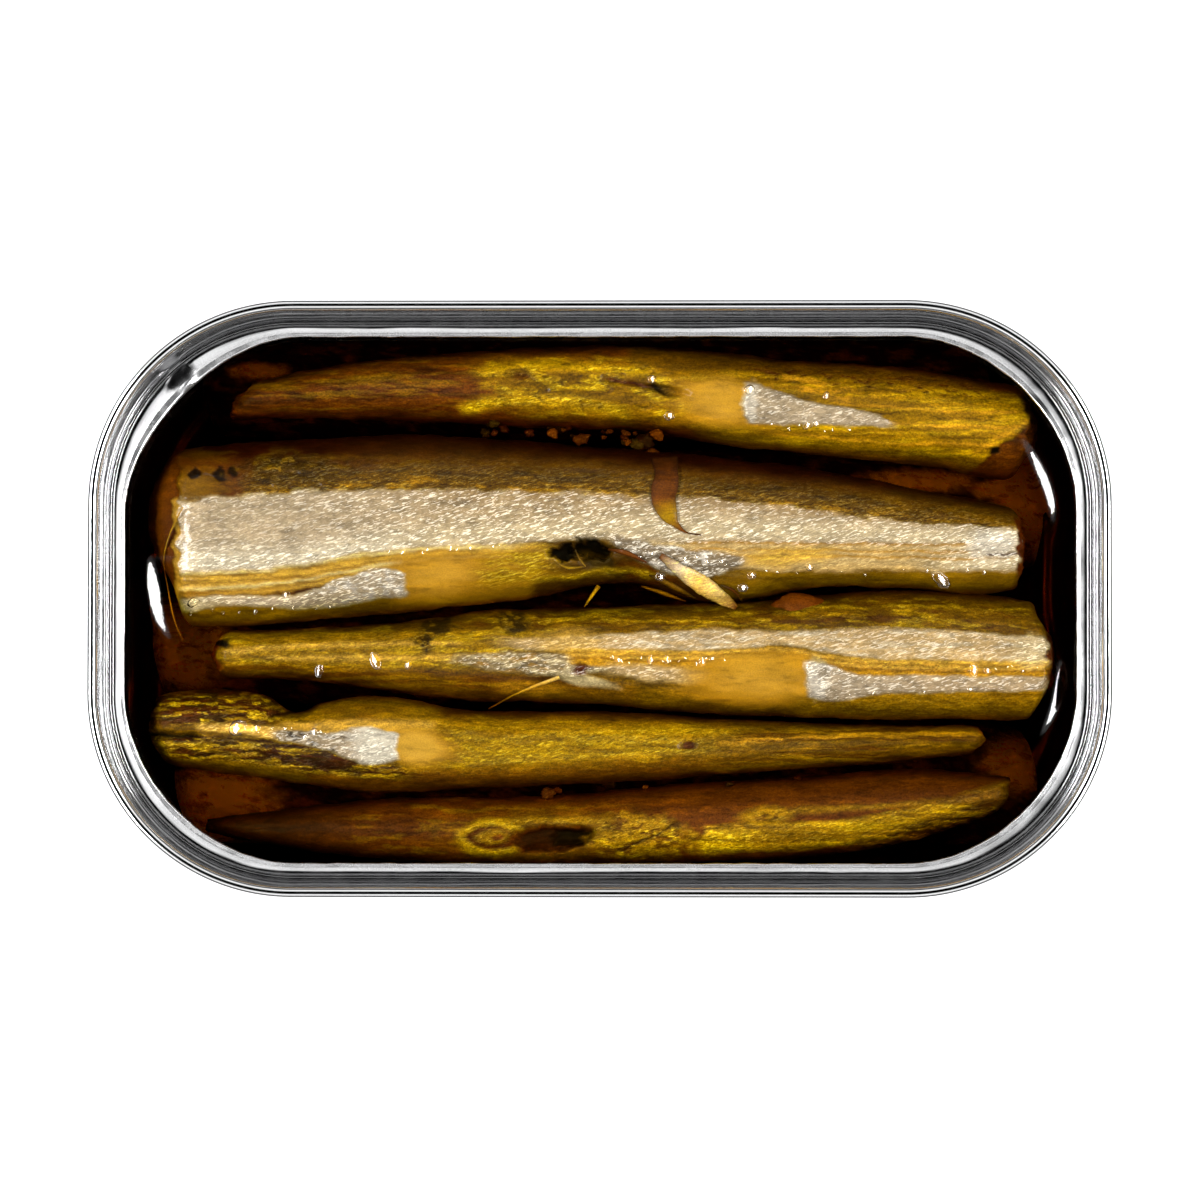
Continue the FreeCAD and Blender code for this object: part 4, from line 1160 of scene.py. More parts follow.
def throughOil(z):
    # the part of red, green and blue that comes back up through the oil
    path = np.maximum(oilLevel - z, 0) * mm * fishLook["slantPath"]
    return np.exp(-path[..., None] * np.array(fishLook["absorption"]))


def gridFaces(rows, columns):
    row = np.arange(rows - 1)[:, None]
    column = np.arange(columns)[None, :]
    after = (column + 1) % columns
    a = row * columns + column
    b = row * columns + after
    faces = np.stack([a, a + columns, b + columns, b], axis=-1)
    return faces.reshape(-1, 4).tolist()


def closedRings(rows, columns):
    # faces of a row of rings, with a face over the first and the last
    faces = gridFaces(rows, columns)
    faces.append(list(range(columns)))
    faces.append(list(range((rows - 1) * columns, rows * columns))[::-1])
    return faces


def fishShape(look, low, columns, rows):
    # rings run round the fish; the first and last few close the cut ends
    capRings = fishLook["capRings"]
    share = (np.arange(rows) + 0.5) / rows
    along = 0.5 - 0.5 * np.cos(math.pi * share)
    along = 0.25 * along + 0.75 * share
    lengthwise = np.concatenate([np.zeros(capRings), along, np.ones(capRings)])
    closing = np.concatenate([np.linspace(0.04, 0.9, capRings), np.ones(rows),
                              np.linspace(0.9, 0.04, capRings)])
    over = int(columns * fishLook["overShare"])
    t = np.linspace(0, 1, over, endpoint=False)
    upperAngle = 0.65 * np.arccos(1 - 2 * t) + 0.35 * math.pi * t
    underAngle = math.pi + math.pi * np.arange(columns - over) / (columns - over)
    angle = np.concatenate([upperAngle, underAngle])
    u, a = np.meshgrid(lengthwise, angle, indexing="ij")
    scale = np.meshgrid(closing, angle, indexing="ij")[0]
    leftX = look["left"][0][1]
    rightX = look["right"][0][1]
    x = leftX + (rightX - leftX) * u
    roundLeft, roundRight = look["round"]
    for _ in range(4):
        top = curveAt(look["top"], x)
        bottom = curveAt(look["bottom"], x)
        half = (top - bottom) / 2
        middle = (top + bottom) / 2
        y = middle + half * np.cos(a) * scale
        left = curveAt(look["left"], y)
        right = curveAt(look["right"], y)
        x = left + (right - left) * u
    fromLeft = np.clip((x - left) / roundLeft, 0, 1)
    fromRight = np.clip((right - x) / roundRight, 0, 1)
    fallLeft, fallRight = fishLook["edgeFall"]
    shoulder = (np.sqrt(1 - (1 - fromLeft) ** 2 * fallLeft) *
                np.sqrt(1 - (1 - fromRight) ** 2 * fallRight))
    narrow = 1 - fishLook["taper"] * (1 - shoulder)
    y = middle + half * np.cos(a) * scale * narrow
    crest = curveAt(look["crest"], x)
    mid = (crest + low) / 2
    tall = (crest - low) / 2
    rise = np.sign(np.sin(a)) * np.abs(np.sin(a)) ** 0.94
    z = mid + tall * rise * scale * shoulder
    return x, y, z, a, scale


skinLook = {
    # patterns: size per metre, stretch, detail, roughness, distortion, turn
    "fibres": (1900.0, (0.3, 1, 1), 5.0, 0.65, 0.9),
    "grain": (4600.0, (0.8, 1, 1), 3.0, 0.65),
    "wrinkles": (3300.0, (0.42, 1, 1), 4.0, 0.6, 1.6, 0.35),
    "dashes": (6000.0, (0.2, 1, 1), 2.0, 0.5, 0.9, 0.28),
    "fine": (9500.0, (0.8, 1, 1), 1.0),
    "cloud": (560.0, (0.5, 1, 1), 4.0),
    # how many times brighter the painted glints on the glittering dashes are, on flesh and on
    # silver, then the tint they go towards
    "paintedGlint": ((2.2, 2.75, 1.0, 1), (2.5, 2.4, 2.0, 1)),
    "paintedGlintTint": (0.9, 0.85, 0.72, 1),
    "pitTint": (0.42, 0.36, 0.3, 1),
    "reliefStrength": 0.7,
    "reliefHeight": 0.00012,        # metres
    # on flesh and on silver
    "roughness": (0.5, 0.34),
    "coat": (0.12, 0.45),           # film of oil on what stands out
    "coatRoughness": 0.12,
    "metallic": 0.3,
    "specular": 0.05,
}


def makeFishSkin():
    # wet skin: painted colour broken up by fine grain, silver where it is metallic, and a film of
    # oil where it stands out of the oil
    look = skinLook
    material, tree = newMaterial("fishSkin")
    place = node(tree, "ShaderNodeTexCoord").outputs["Object"]
    paint = node(tree, "ShaderNodeAttribute", attribute_name="paint").outputs["Color"]
    silver, glitter, wet, calm = (stored(tree, name) for name in
                                  ("silver", "glitter", "wet", "calm"))
    fibres, grain, wrinkles, dashes, fine, cloud = (
        noiseAt(tree, place, *look[name]) for name in
        ("fibres", "grain", "wrinkles", "dashes", "fine", "cloud"))

    # lengthwise fibres, grain and clouds; the swellings stay calm
    shade = times(tree, ramp(tree, fibres, 0.28, 0.72, 0.58, 1.4),
                  ramp(tree, grain, 0.3, 0.7, 0.72, 1.28))
    shade = times(tree, shade, ramp(tree, fine, 0.3, 0.7, 0.8, 1.2))
    shade = times(tree, shade, ramp(tree, cloud, 0.3, 0.7, 0.82, 1.16))
    calmShade = ramp(tree, fine, 0.3, 0.7, 0.84, 1.1)
    quiet = node(tree, "ShaderNodeMix", {0: calm, 2: shade, 3: calmShade}).outputs[0]
    # on silver the wrinkles are painted lighter and darker in streaks, as painted highlights along
    # them
    metal = ramp(tree, wrinkles, 0.32, 0.68, 0.74, 1.3)
    shade = node(tree, "ShaderNodeMix", {0: silver, 2: quiet, 3: metal}).outputs[0]
    painted = node(tree, "ShaderNodeVectorMath", {0: paint, "Scale": shade},
                   operation="SCALE").outputs[0]

    # where it glitters, bright dashes as painted glints, and dark dashes
    paintedGlint = times(tree, ramp(tree, dashes, 0.55, 0.63), glitter)
    brighter = mixColour(tree, ramp(tree, silver, 0.0, 0.6), *look["paintedGlint"])
    bright = mixColour(tree, 1.0, painted, brighter, "MULTIPLY")
    bright = mixColour(tree, ramp(tree, silver, 0.1, 0.8, 0.02, 0.6), bright, look["paintedGlintTint"])
    dark = mixColour(tree, 1.0, painted, look["pitTint"], "MULTIPLY")
    notSilver = math2(tree, "SUBTRACT", 1.0, silver)
    pits = times(tree, ramp(tree, dashes, 0.45, 0.36), times(tree, glitter, notSilver))
    colour = mixColour(tree, times(tree, pits, 0.85), painted, dark)
    colour = mixColour(tree, times(tree, paintedGlint, 0.85), colour, bright)

    # relief
    skinHeight = math2(tree, "ADD", times(tree, fibres, 0.45), times(tree, grain, 0.2))
    skinHeight = times(tree, skinHeight, ramp(tree, calm, 0.0, 1.0, 1.0, 0.3))
    silverHeight = times(tree, wrinkles, times(tree, silver, 1.2))
    dashHeight = times(tree, dashes, times(tree, glitter, 0.5))
    height = math2(tree, "ADD", math2(tree, "ADD", skinHeight, silverHeight), dashHeight)
    bump = node(tree, "ShaderNodeBump", {"Strength": look["reliefStrength"],
                                         "Distance": look["reliefHeight"], "Height": height})
    shader = node(tree, "ShaderNodeBsdfPrincipled",
                  {"Base Color": colour, "Normal": bump.outputs[0],
                   "Roughness": ramp(tree, silver, 0.0, 1.0, *look["roughness"]),
                   "Specular IOR Level": look["specular"],
                   "Metallic": times(tree, silver, look["metallic"]),
                   "Coat Weight": times(tree, wet, ramp(tree, silver, 0.0, 1.0, *look["coat"])),
                   "Coat Roughness": look["coatRoughness"]})
    node(tree, "ShaderNodeOutputMaterial", {"Surface": shader.outputs[0]})
    return material


def coverWithSkin(piece, material, paint, silver, glitter, calm, wet):
    # the layers that the skin material reads, each one value or one for every point
    every = np.ones(len(piece.data.vertices))
    addLayer(piece, "paint", paint.reshape(-1, 3), "FLOAT_COLOR")
    for name, values in (("silver", silver), ("glitter", glitter), ("calm", calm), ("wet", wet)):
        addLayer(piece, name, np.ravel(values) * every)
    piece.data.materials.append(material)


def finishFish(name, skin, x, y, z, columns, material):
    # paint that lies under the oil is made lighter, as the oil will darken it again
    colour = skin.colour * fishLook["pale"] / np.maximum(throughOil(z), fishLook["leastLight"])
    silver = skin.silver[..., None]
    colour *= 1 - silver * np.array(fishLook["silverHeldDown"])
    colour *= 1 - (1 - silver) * np.array(fishLook["fleshHeldDown"])
    colour = np.clip(colour, 0, fishLook["lightest"])
    wide, high = carriedDown(x, y, fishLook["deep"])
    points = np.stack([wide, high, z], axis=-1).reshape(-1, 3)
    faces = closedRings(len(x), columns)
    piece = addPiece(name.replace("_", ""), points, faces, (name,))
    coverWithSkin(piece, material, colour, skin.silver, skin.glitter, skin.calm,
                  smooth(oilLevel - 0.1, oilLevel + 0.2, z))
    return piece, points


def buildUpperFish(material):
    tops = []
    for order, (name, look) in enumerate(upperFish.items()):
        length = look["right"][0][1] - look["left"][0][1]
        wide = max(t[1] for t in look["top"]) - min(b[1] for b in look["bottom"])
        rows = int(length / fishLook["gridStep"])
        step = fishLook["gridStep"] * fishLook["acrossStep"]
        columns = int(min(wide, fishLook["widest"]) / step) + fishLook["underColumns"]
        x, y, z, angle, scale = fishShape(look, fishLook["rest"], columns, rows)
        skin = Skin(x, y, 20 * order + 3)
        look["paint"](skin)
        # the sides and the underside keep a plain belly colour
        side = smooth(0.12, -0.25, np.sin(angle))
        skin.lay(side, "warmBrown", silver=0.1, glitter=0.0)
        skin.lay(smooth(0.8, 0.3, scale), "redBrown", silver=0.0, glitter=0.2)
        # painted shade towards the side edges, where each fish falls away into the dark gaps; worn
        # patches and fine dark creases all over
        edge = smooth(0.62, 1.0, np.abs(np.cos(angle)) + 0.10 * rough(x, y, 3, 1, 90 + order))
        worn = rough(x, y, 2.6, 0.8, 50 + order, 4)
        crease = smooth(0.25, 0.6, rough(x, y, 1.6, 0.35, 70 + order, 3))
        skin.colour *= ((1 - 0.62 * edge) * (1 + 0.34 * worn) * (1 - 0.3 * crease))[..., None]
        facing = np.clip(np.sin(angle) * 1.6, 0, 1) * smooth(0.3, 0.9, scale)
        waver = 0.10 * rough(x, y, 2.5, 0.9, 7 + order, 4)
        waver = waver + 0.05 * rough(x, y, 0.8, 0.4, 17 + order)
        z = z + facing * (skin.lift + waver)
        y = y + 0.26 * rough(x, z, 2.6, 2.2, 31 + order, 4) * np.cos(angle)
        ends = smooth(1.6, 0.2, np.minimum(x - x.min(axis=0), x.max(axis=0) - x))
        x = x + (0.45 if order else 0.9) * ends * rough(y, z, 0.8, 1.2, 41 + order)
        piece, points = finishFish(name, skin, x, y, z, columns, material)
        tops.append(points[points[:, 2] > oilLevel - 3])
        print(name, len(piece.data.polygons), "faces, crest", round(float(z.max()), 2))
    return np.concatenate(tops)


lowerRest = {
    "low": 1.58,
    "gridStep": 0.42,
    # pale flesh that can be made out past the upper layer, painted light where light reaches it:
    # place and size
    "pale": [((-40.2, -21.2), (6.5, 4.2)), ((-43.5, -4.2), (4.2, 5.0)),
             ((42.8, -16.2), (3.2, 3.4)), ((44.4, 11), (3.4, 6.2)), ((45.4, 7), (0.9, 2.6)),
             ((33, 12.8), (5.6, 1.3)), ((41.4, 12), (2.6, 1.0)), ((-36, 24.4), (3, 0.8))],
}


def paintLower(skin):
    skin.lay(np.ones(skin.x.shape), "backBrown")
    skin.lay(skin.broken(4, 0.8, 1, -0.1, 0.4), "deepBrown", strength=0.8)
    # painted light: the pale spots are laid on in white
    for place, size in lowerRest["pale"]:
        skin.lay(skin.spot(place, size, 0, 0.4, 0.25), "white")
    skin.lay(skin.broken(2.2, 0.8, 2, 0.0, 0.5), "amber", strength=0.55, lift=-0.08)
    skin.lay(skin.broken(1.0, 0.6, 3, 0.15, 0.4), "warmBrown", strength=0.5, lift=-0.08)
    # painted shade darkens the rest under the upper fish, and the pale spots are lifted further as
    # painted light
    spots = [skin.spot(place, size, 0, 0.5, 0.25) for place, size in lowerRest["pale"]]
    pale = np.max(spots, axis=0)
    skin.colour *= (0.56 + 0.8 * pale)[..., None]


def buildLowerFish(material):
    for order in range(4):
        name = "lower_fish_" + str(order + 1)
        low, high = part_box(name)
        x0, y0 = (v / mm for v in low[:2])
        x1, y1, z1 = (v / mm for v in high)
        middle = (y0 + y1) / 2
        half = (y1 - y0) / 2
        bend = 0.8 if order % 2 else -0.8
        bow = [(x0, bend), (x0 * 0.4, 0.0), (0, -0.4 * bend), (x1 * 0.5, 0.2), (x1, -bend)]
        look = {
            "top": [(px, middle + half * (0.98 - 0.10 * abs(px / x1) ** 2) + 0.1 * dy)
                    for px, dy in bow],
            "bottom": [(px, middle - half * (0.98 - 0.10 * abs(px / x1) ** 2) + 0.1 * dy)
                       for px, dy in bow],
            "left": [(y0, x0 + 1.6), (middle, x0 + 0.2), (y1, x0 + 1.0)],
            "right": [(y0, x1 - 1.2), (middle, x1 - 0.2), (y1, x1 - 1.8)],
            "crest": [(x0, z1 - 1.2), (0, z1 - 0.2), (x1, z1 - 1.0)],
            "round": (3.0, 3.0),
        }
        step = lowerRest["gridStep"]
        rows = int((x1 - x0) / step)
        columns = int((y1 - y0) / (step * 0.6)) + 24
        x, y, z, angle, scale = fishShape(look, lowerRest["low"], columns, rows)
        skin = Skin(x, y, 200 + 9 * order)
        paintLower(skin)
        facing = np.clip(np.sin(angle) * 1.6, 0, 1) * smooth(0.3, 0.9, scale)
        z = z + facing * (skin.lift + 0.12 * rough(x, y, 2.0, 0.9, 61 + order, 4))
        points = np.stack([x, y, z], axis=-1).reshape(-1, 3)
        faces = closedRings(len(x), columns)
        piece = addPiece("lowerFish" + str(order + 1), points, faces, (name,))
        coverWithSkin(piece, material, skin.colour, skin.silver, skin.glitter, 0.3, 0.0)
    print("lower fish built")


# oil: fills the tin, creeps up where fish and sheet stand out of it

oilLook = {
    "gridStep": 0.3,
    "wallGap": 0.04,
    "wallRise": 0.55,           # mm the oil creeps up the wall
    "fishRise": 0.16,           # and up the fish
    "reach": 1.3,
    # it is drawn up further at the cut ends: line of (height, place) in mm, the side that
    # faces the fish, steepness, width of the steep part
    "drawnUp": [([(7.0, 46.7), (10.5, 46.3), (13.6, 45.2), (17.2, 43.4)], -1, 0.29, 1.5),
                ([(-14.6, 45.0), (-11.5, 46.5), (-8.5, 47.3), (-5.6, 47.5)], -1, 0.29, 1.3),
                ([(-4.6, -44.2), (-2.5, -45.3), (1.5, -46.2), (5.2, -46.7)], 1, 0.265, 1.7)],
    "density": 520.0,           # per metre; the share of each colour kept follows the fish look
    "refraction": 1.47,
    "tint": (1, 1, 1, 1),
    "openDrop": 0.1,            # mm that the open surface lies under the oil's level
    "meniscus": 0.7,            # mm from the wall over which it creeps up
    "heelSteps": 6,
}


def blurred(field, radius):
    steps = int(radius * 3)
    kernel = np.exp(-0.5 * (np.arange(-steps, steps + 1) / radius) ** 2)
    kernel /= kernel.sum()
    for axis in (0, 1):
        field = np.apply_along_axis(np.convolve, axis, field, kernel, mode="same")
    return field


def insideTin(x, y, inset):
    # mm to the rounded rectangle this far inside the rim, positive inside
    corner = tinLook["corner"] - inset
    dx = np.abs(x) - (halfLength - tinLook["corner"])
    dy = np.abs(y) - (halfWidth - tinLook["corner"])
    outside = np.hypot(np.maximum(dx, 0), np.maximum(dy, 0)) + np.minimum(np.maximum(dx, dy), 0)
    return corner - outside


def makeClear(name, tint, absorption=None):
    # clear oil that throws no hard shadow; absorption colours what is seen through it
    material, tree = newMaterial(name)
    glass = node(tree, "ShaderNodeBsdfPrincipled",
                 {"Base Color": tint, "Roughness": 0.0, "IOR": oilLook["refraction"],
                  "Transmission Weight": 1.0})
    clear = node(tree, "ShaderNodeBsdfTransparent")
    shadow = node(tree, "ShaderNodeLightPath").outputs["Is Shadow Ray"]
    surface = node(tree, "ShaderNodeMixShader",
                   {0: shadow, 1: glass.outputs[0], 2: clear.outputs[0]})
    output = node(tree, "ShaderNodeOutputMaterial", {"Surface": surface.outputs[0]})
    if absorption:
        kept = 1 - np.array(absorption) / oilLook["density"]
        volume = node(tree, "ShaderNodeVolumeAbsorption",
                      {"Color": (*kept, 1), "Density": oilLook["density"]})
        tree.links.new(volume.outputs[0], output.inputs["Volume"])
    return material


def buildOil(tops):
    look = oilLook
    step = look["gridStep"]
    edge = layers()[3] + tinLook["gauge"] / 2 + look["wallGap"]
    columns = int(2 * halfLength / step)
    rows = int(2 * halfWidth / step)

    # how high the fish stand at every place over the tin
    height = np.full((columns, rows), -50.0)
    ix = np.rint((tops[:, 0] / halfLength + 1) / 2 * (columns - 1)).astype(int)
    iy = np.rint((tops[:, 1] / halfWidth + 1) / 2 * (rows - 1)).astype(int)
    np.maximum.at(height, (ix, iy), tops[:, 2])
    emerged = (height > oilLevel + 0.05).astype(float)
    creep = np.minimum(blurred(emerged, look["reach"] / step) * 2, 1) * look["fishRise"]

    # rows of points reach from wall to wall, closer together towards the long sides
    share = np.linspace(-1, 1, rows)
    share = 0.55 * share + 0.45 * np.sin(share * math.pi / 2)
    corner = tinLook["corner"] - edge
    y = share * (halfWidth - edge)
    intoCorner = np.clip(np.abs(y) - (halfWidth - tinLook["corner"]), 0, corner)
    reach = halfLength - tinLook["corner"] + np.sqrt(np.maximum(corner ** 2 - intoCorner ** 2, 0))
    x = np.linspace(-1, 1, columns)[:, None] * reach[None, :]
    y = np.tile(y, (columns, 1))
    fx = (x / halfLength + 1) / 2 * (columns - 1)
    fy = (y / halfWidth + 1) / 2 * (rows - 1)
    cx = np.clip(fx.astype(int), 0, columns - 2)
    cy = np.clip(fy.astype(int), 0, rows - 2)
    tx = fx - cx
    ty = fy - cy
    rise = ((creep[cx, cy] * (1 - ty) + creep[cx, cy + 1] * ty) * (1 - tx) +
            (creep[cx + 1, cy] * (1 - ty) + creep[cx + 1, cy + 1] * ty) * tx)
    toWall = np.maximum(insideTin(x, y, edge), 0)
    creepUp = look["wallRise"] * np.exp(-toWall / look["meniscus"])
    surface = oilLevel - look["openDrop"] + rise + creepUp
    for line, side, steep, wide in look["drawnUp"]:
        first, last = line[0][0], line[-1][0]
        middle = (first + last) / 2
        fromMiddle = np.clip(np.abs(y - middle) / (last - first) * 2, 0, 1.25)
        half = wide / 2 * np.clip(1 - fromMiddle ** 2.2, 0.12, 1)
        along = smooth(1.25, 0.95, fromMiddle)
        away = (x - curveAt(line, y)) * side
        near = (np.sqrt((away + half) ** 2 + 0.06) - np.sqrt((away - half) ** 2 + 0.06)) / 2 + half
        surface = surface + steep * 1.06 * along * near * smooth(9, 3, away)
    points = np.stack([x, y, surface], axis=-1).reshape(-1, 3)

    def at(column, row):
        return column * rows + row

    faces = [(at(i, j), at(i + 1, j), at(i + 1, j + 1), at(i, j + 1))
             for i in range(columns - 1) for j in range(rows - 1)]
    loop = ([at(i, 0) for i in range(columns - 1)] + [at(columns - 1, j) for j in range(rows - 1)] +
            [at(i, rows - 1) for i in range(columns - 1, 0, -1)] +
            [at(0, j) for j in range(rows - 1, 0, -1)])

    # the sides go down the wall and round the heel to the floor
    rim = points[loop][:, :2]
    tangent = np.roll(rim, -1, axis=0) - np.roll(rim, 1, axis=0)
    tangent /= np.linalg.norm(tangent, axis=1)[:, None]
    inward = np.stack([-tangent[:, 1], tangent[:, 0]], axis=1)
    heel = tinLook["heel"] + 0.1
    floor = oilLow[2] / mm
    levels = [(0.0, oilLevel - 3), (0.0, 12.0), (0.0, floor + heel)]
    for part in range(1, look["heelSteps"] + 1):
        angle = part / look["heelSteps"] * math.pi / 2
        levels.append((heel * (1 - math.cos(angle)), floor + heel * (1 - math.sin(angle))))
    allPoints = [points]
    previous = loop
    total = len(points)
    for inset, z in levels:
        ring = rim + inward * inset
        allPoints.append(np.column_stack([ring, np.full(len(ring), z)]))
        current = list(range(total, total + len(ring)))
        total += len(ring)
        for k in range(len(ring)):
            n = (k + 1) % len(ring)
            faces.append((previous[n], previous[k], current[k], current[n]))
        previous = current
    faces.append(tuple(reversed(previous)))
    oil = addPiece("oilFill", np.concatenate(allPoints), faces, ("oil",))
    oil.data.materials.append(makeClear("clearOil", look["tint"], fishLook["absorption"]))
    print("oil built,", len(faces), "faces")


# loose bits of skin, bone and flesh, and drops of oil

looseLook = {
    "thick": 0.14,
    "lift": 0.10,               # mm above what they lie on
    "calm": 0.4,
    "crumbCount": 46,
    "crumbSizes": (0.2, 0.75),
    "crumbTones": ("brown", "backBrown", "mossy", "deepBrown", "warmBrown"),
    "seed": 5,
    "clotPlace": (20.4, -0.7, 1.9),     # the last is mm below the oil
    "clotSize": (3.1, 1.5, 1.1),
    # pieces of thin strips: silver, glitter, then for each strip a line of (x, y, width), the
    # tones along it, mm above what it lies on, mm that its edges curl up, and its seed
    "strips": {
        # a ribbon of skin that hangs over the back of the second fish, and its thread
        "skinRibbon": (0.0, 0.05, [
            ([(6.6, 14.9, 2.7), (6.8, 12.6, 2.5), (6.5, 10.6, 2.6), (7.0, 9.0, 1.9),
              (7.9, 7.7, 0.7), (8.8, 7.0, 0.18), (10.4, 6.7, 0.12)],
             ["deepBrown", "brown", "warmBrown", "mustard", "warmBrown", "brown"], 0.02, 0.12, 1)]),
        # a folded pale strip out of the torn skin
        "foldedStrip": (0.1, 0.5, [
            ([(6.2, 4.6, 0.6), (8.4, 3.0, 1.5), (10.6, 1.6, 1.9), (12.4, 0.4, 1.5),
              (14.0, -0.7, 0.5)],
             ["warmBrown", "flesh", "paleAmber", "flesh", "warmBrown"], 0.5, -0.25, 2)]),
        # shreds round the hole
        "tornShreds": (0.0, 0.2, [
            ([(0.8, 5.3, 0.2), (2.6, 4.9, 0.6), (4.8, 3.9, 0.15)],
             ["brown", "warmBrown", "brown"], 0.4, -0.1, 3),
            ([(-4.8, 4.0, 0.1), (-3.4, 3.4, 0.3), (-1.6, 3.5, 0.1)],
             ["olive", "mustard", "olive"], 0.7, -0.1, 4),
            ([(-2.6, 5.3, 0.1), (-2.2, 4.4, 0.24), (-1.5, 3.5, 0.1)],
             ["mossy", "olive", "mustard"], 0.9, -0.1, 5),
            ([(5.0, 2.7, 0.2), (7.2, 1.7, 0.6), (9.8, 0.3, 0.15)],
             ["mossy", "olive", "mossy"], 0.35, -0.1, 6),
            ([(4.2, 1.6, 0.15), (6.4, 0.9, 0.4), (8.8, 0.0, 0.1)],
             ["olive", "mustard", "brown"], 0.3, -0.1, 7),
            ([(12.4, 1.6, 0.2), (13.8, 1.0, 0.4), (14.6, 0.0, 0.15)],
             ["mossy", "brown", "mossy"], 0.35, -0.1, 8)]),
        # a bone sticking out between the second and third fish, fine threads beside the ends
        "boneThreads": (0.0, 0.1, [
            ([(-0.2, 1.6, 0.45), (-0.9, 0.6, 0.32), (-1.7, -0.6, 0.1)],
             ["mustard", "yellow", "olive"], 1.2, 0.0, 9),
            ([(-4.2, -7.9, 0.4), (-7.0, -8.9, 0.3), (-9.4, -9.9, 0.16), (-11.6, -11.1, 0.1)],
             ["paleAmber", "amber", "mustard", "warmBrown"], 0.5, 0.0, 10),
            ([(-43.0, 9.6, 0.1), (-44.4, 7.0, 0.13), (-45.1, 4.6, 0.13), (-44.7, 1.0, 0.12),
              (-44.0, -2.2, 0.12), (-43.2, -4.0, 0.1)],
             ["amber", "mustard", "warmBrown", "amber", "warmBrown"], 0.4, 0.0, 11)]),
    },
}


class Relief:
    # height of the fish at any place in the tin
    def __init__(self, points, step=0.25):
        self.step = step
        self.columns = int(2 * halfLength / step)
        self.rows = int(2 * halfWidth / step)
        self.height = np.full((self.columns, self.rows), oilLevel - 3.0)
        ix = ((points[:, 0] + halfLength) / step).astype(int)
        iy = ((points[:, 1] + halfWidth) / step).astype(int)
        np.maximum.at(self.height, (ix, iy), points[:, 2])

    def at(self, x, y):
        ix = np.clip(((x + halfLength) / self.step).astype(int), 0, self.columns - 1)
        iy = np.clip(((y + halfWidth) / self.step).astype(int), 0, self.rows - 1)
        return self.height[ix, iy]


def evenLine(points, count):
    # the same line through a few points, smoothed and evenly spaced
    points = np.array(points, dtype=float)
    along = np.concatenate([[0], np.cumsum(np.linalg.norm(np.diff(points, axis=0), axis=1))])
    wanted = np.linspace(0, along[-1], count)
    return np.stack([curveAt(list(zip(along, points[:, axis])), wanted)
                     for axis in range(points.shape[1])], axis=1)


def drapedStrip(relief, line, colours, lift, curl, seed):
    # line holds (x, y, width); returns points, faces and colours of a thin closed strip
    length = sum(math.dist(a[:2], b[:2]) for a, b in zip(line, line[1:]))
    count = max(8, int(length / 0.18))
    across = max(3, int(max(p[2] for p in line) / 0.16) + 1)
    path = evenLine(line, count)
    tangent = np.gradient(path[:, :2], axis=0)
    tangent /= np.linalg.norm(tangent, axis=1)[:, None]
    normal = np.stack([-tangent[:, 1], tangent[:, 0]], axis=1)
    share = np.linspace(-0.5, 0.5, across)
    width = path[:, 2] * (1 + 0.12 * rough(np.arange(count) * 0.2, np.zeros(count), 0.8, 1, seed))
    x = path[:, 0][:, None] + normal[:, 0][:, None] * width[:, None] * share[None, :]
    y = path[:, 1][:, None] + normal[:, 1][:, None] * width[:, None] * share[None, :]
    base = relief.at(x, y)
    kernel = np.ones(9) / 9
    padded = np.pad(base, ((4, 4), (0, 0)), mode="edge")
    base = np.apply_along_axis(lambda c: np.convolve(c, kernel, mode="valid"), 0, padded)
    base = 0.5 * base + 0.5 * base.mean(axis=1, keepdims=True)
    z = base + looseLook["lift"] + lift + curl * (2 * share[None, :]) ** 2
    z = z + 0.05 * rough(x, y, 0.8, 0.8, seed + 3)
    half = looseLook["thick"] / 2
    upper = np.stack([x, y, z + half], axis=-1)
    lower = np.stack([x, y, z - half], axis=-1)
    ring = np.concatenate([upper, lower[:, ::-1]], axis=1)
    columns = ring.shape[1]
    faces = closedRings(count, columns)
    along = np.linspace(0, 1, count)
    paint = np.stack([np.interp(along, np.linspace(0, 1, len(colours)),
                                [tones[c][k] for c in colours]) for k in range(3)], axis=1)
    # painted shade: darker over all, and most of all towards both edges of the strip
    edge = np.abs(2 * np.concatenate([share, share[::-1]])) ** 3
    paint = (paint[:, None, :] * (0.72 - 0.36 * edge)[None, :, None]).reshape(-1, 3)
    return ring.reshape(-1, 3), faces, paint


def lump(place, size, seed, uneven, rings=9, sides=14):
    # a small uneven lump, closed
    points = []
    for ring in range(rings + 1):
        lift = math.pi * ring / rings
        for side in range(sides):
            turn = 2 * math.pi * side / sides
            d = np.array([math.sin(lift) * math.cos(turn), math.sin(lift) * math.sin(turn),
                          math.cos(lift)])
            swell = 1 + uneven * float(rough(d[0] * 2 + place[0], d[1] * 2 + d[2], 1.0, 1.0, seed))
            points.append(np.array(place) + d * np.array(size) * swell)
    faces = gridFaces(rings + 1, sides)
    return np.array(points), [face[::-1] for face in faces]


def joinParts(parts):
    points, faces, paint = [], [], []
    total = 0
    for partPoints, partFaces, partPaint in parts:
        points.append(partPoints)
        faces.extend([[index + total for index in face] for face in partFaces])
        paint.append(partPaint)
        total += len(partPoints)
    return np.concatenate(points), faces, np.concatenate(paint)


def addLoose(name, parts, material, silver, glitter, wet=0.8):
    points, faces, paint = joinParts(parts)
    piece = addPiece(name, points, faces)
    coverWithSkin(piece, material, paint, silver, glitter, looseLook["calm"], wet)


def buildStrips(relief, material):
    for name, (silver, glitter, strips) in looseLook["strips"].items():
        parts = [drapedStrip(relief, *strip) for strip in strips]
        addLoose(name, parts, material, silver, glitter)


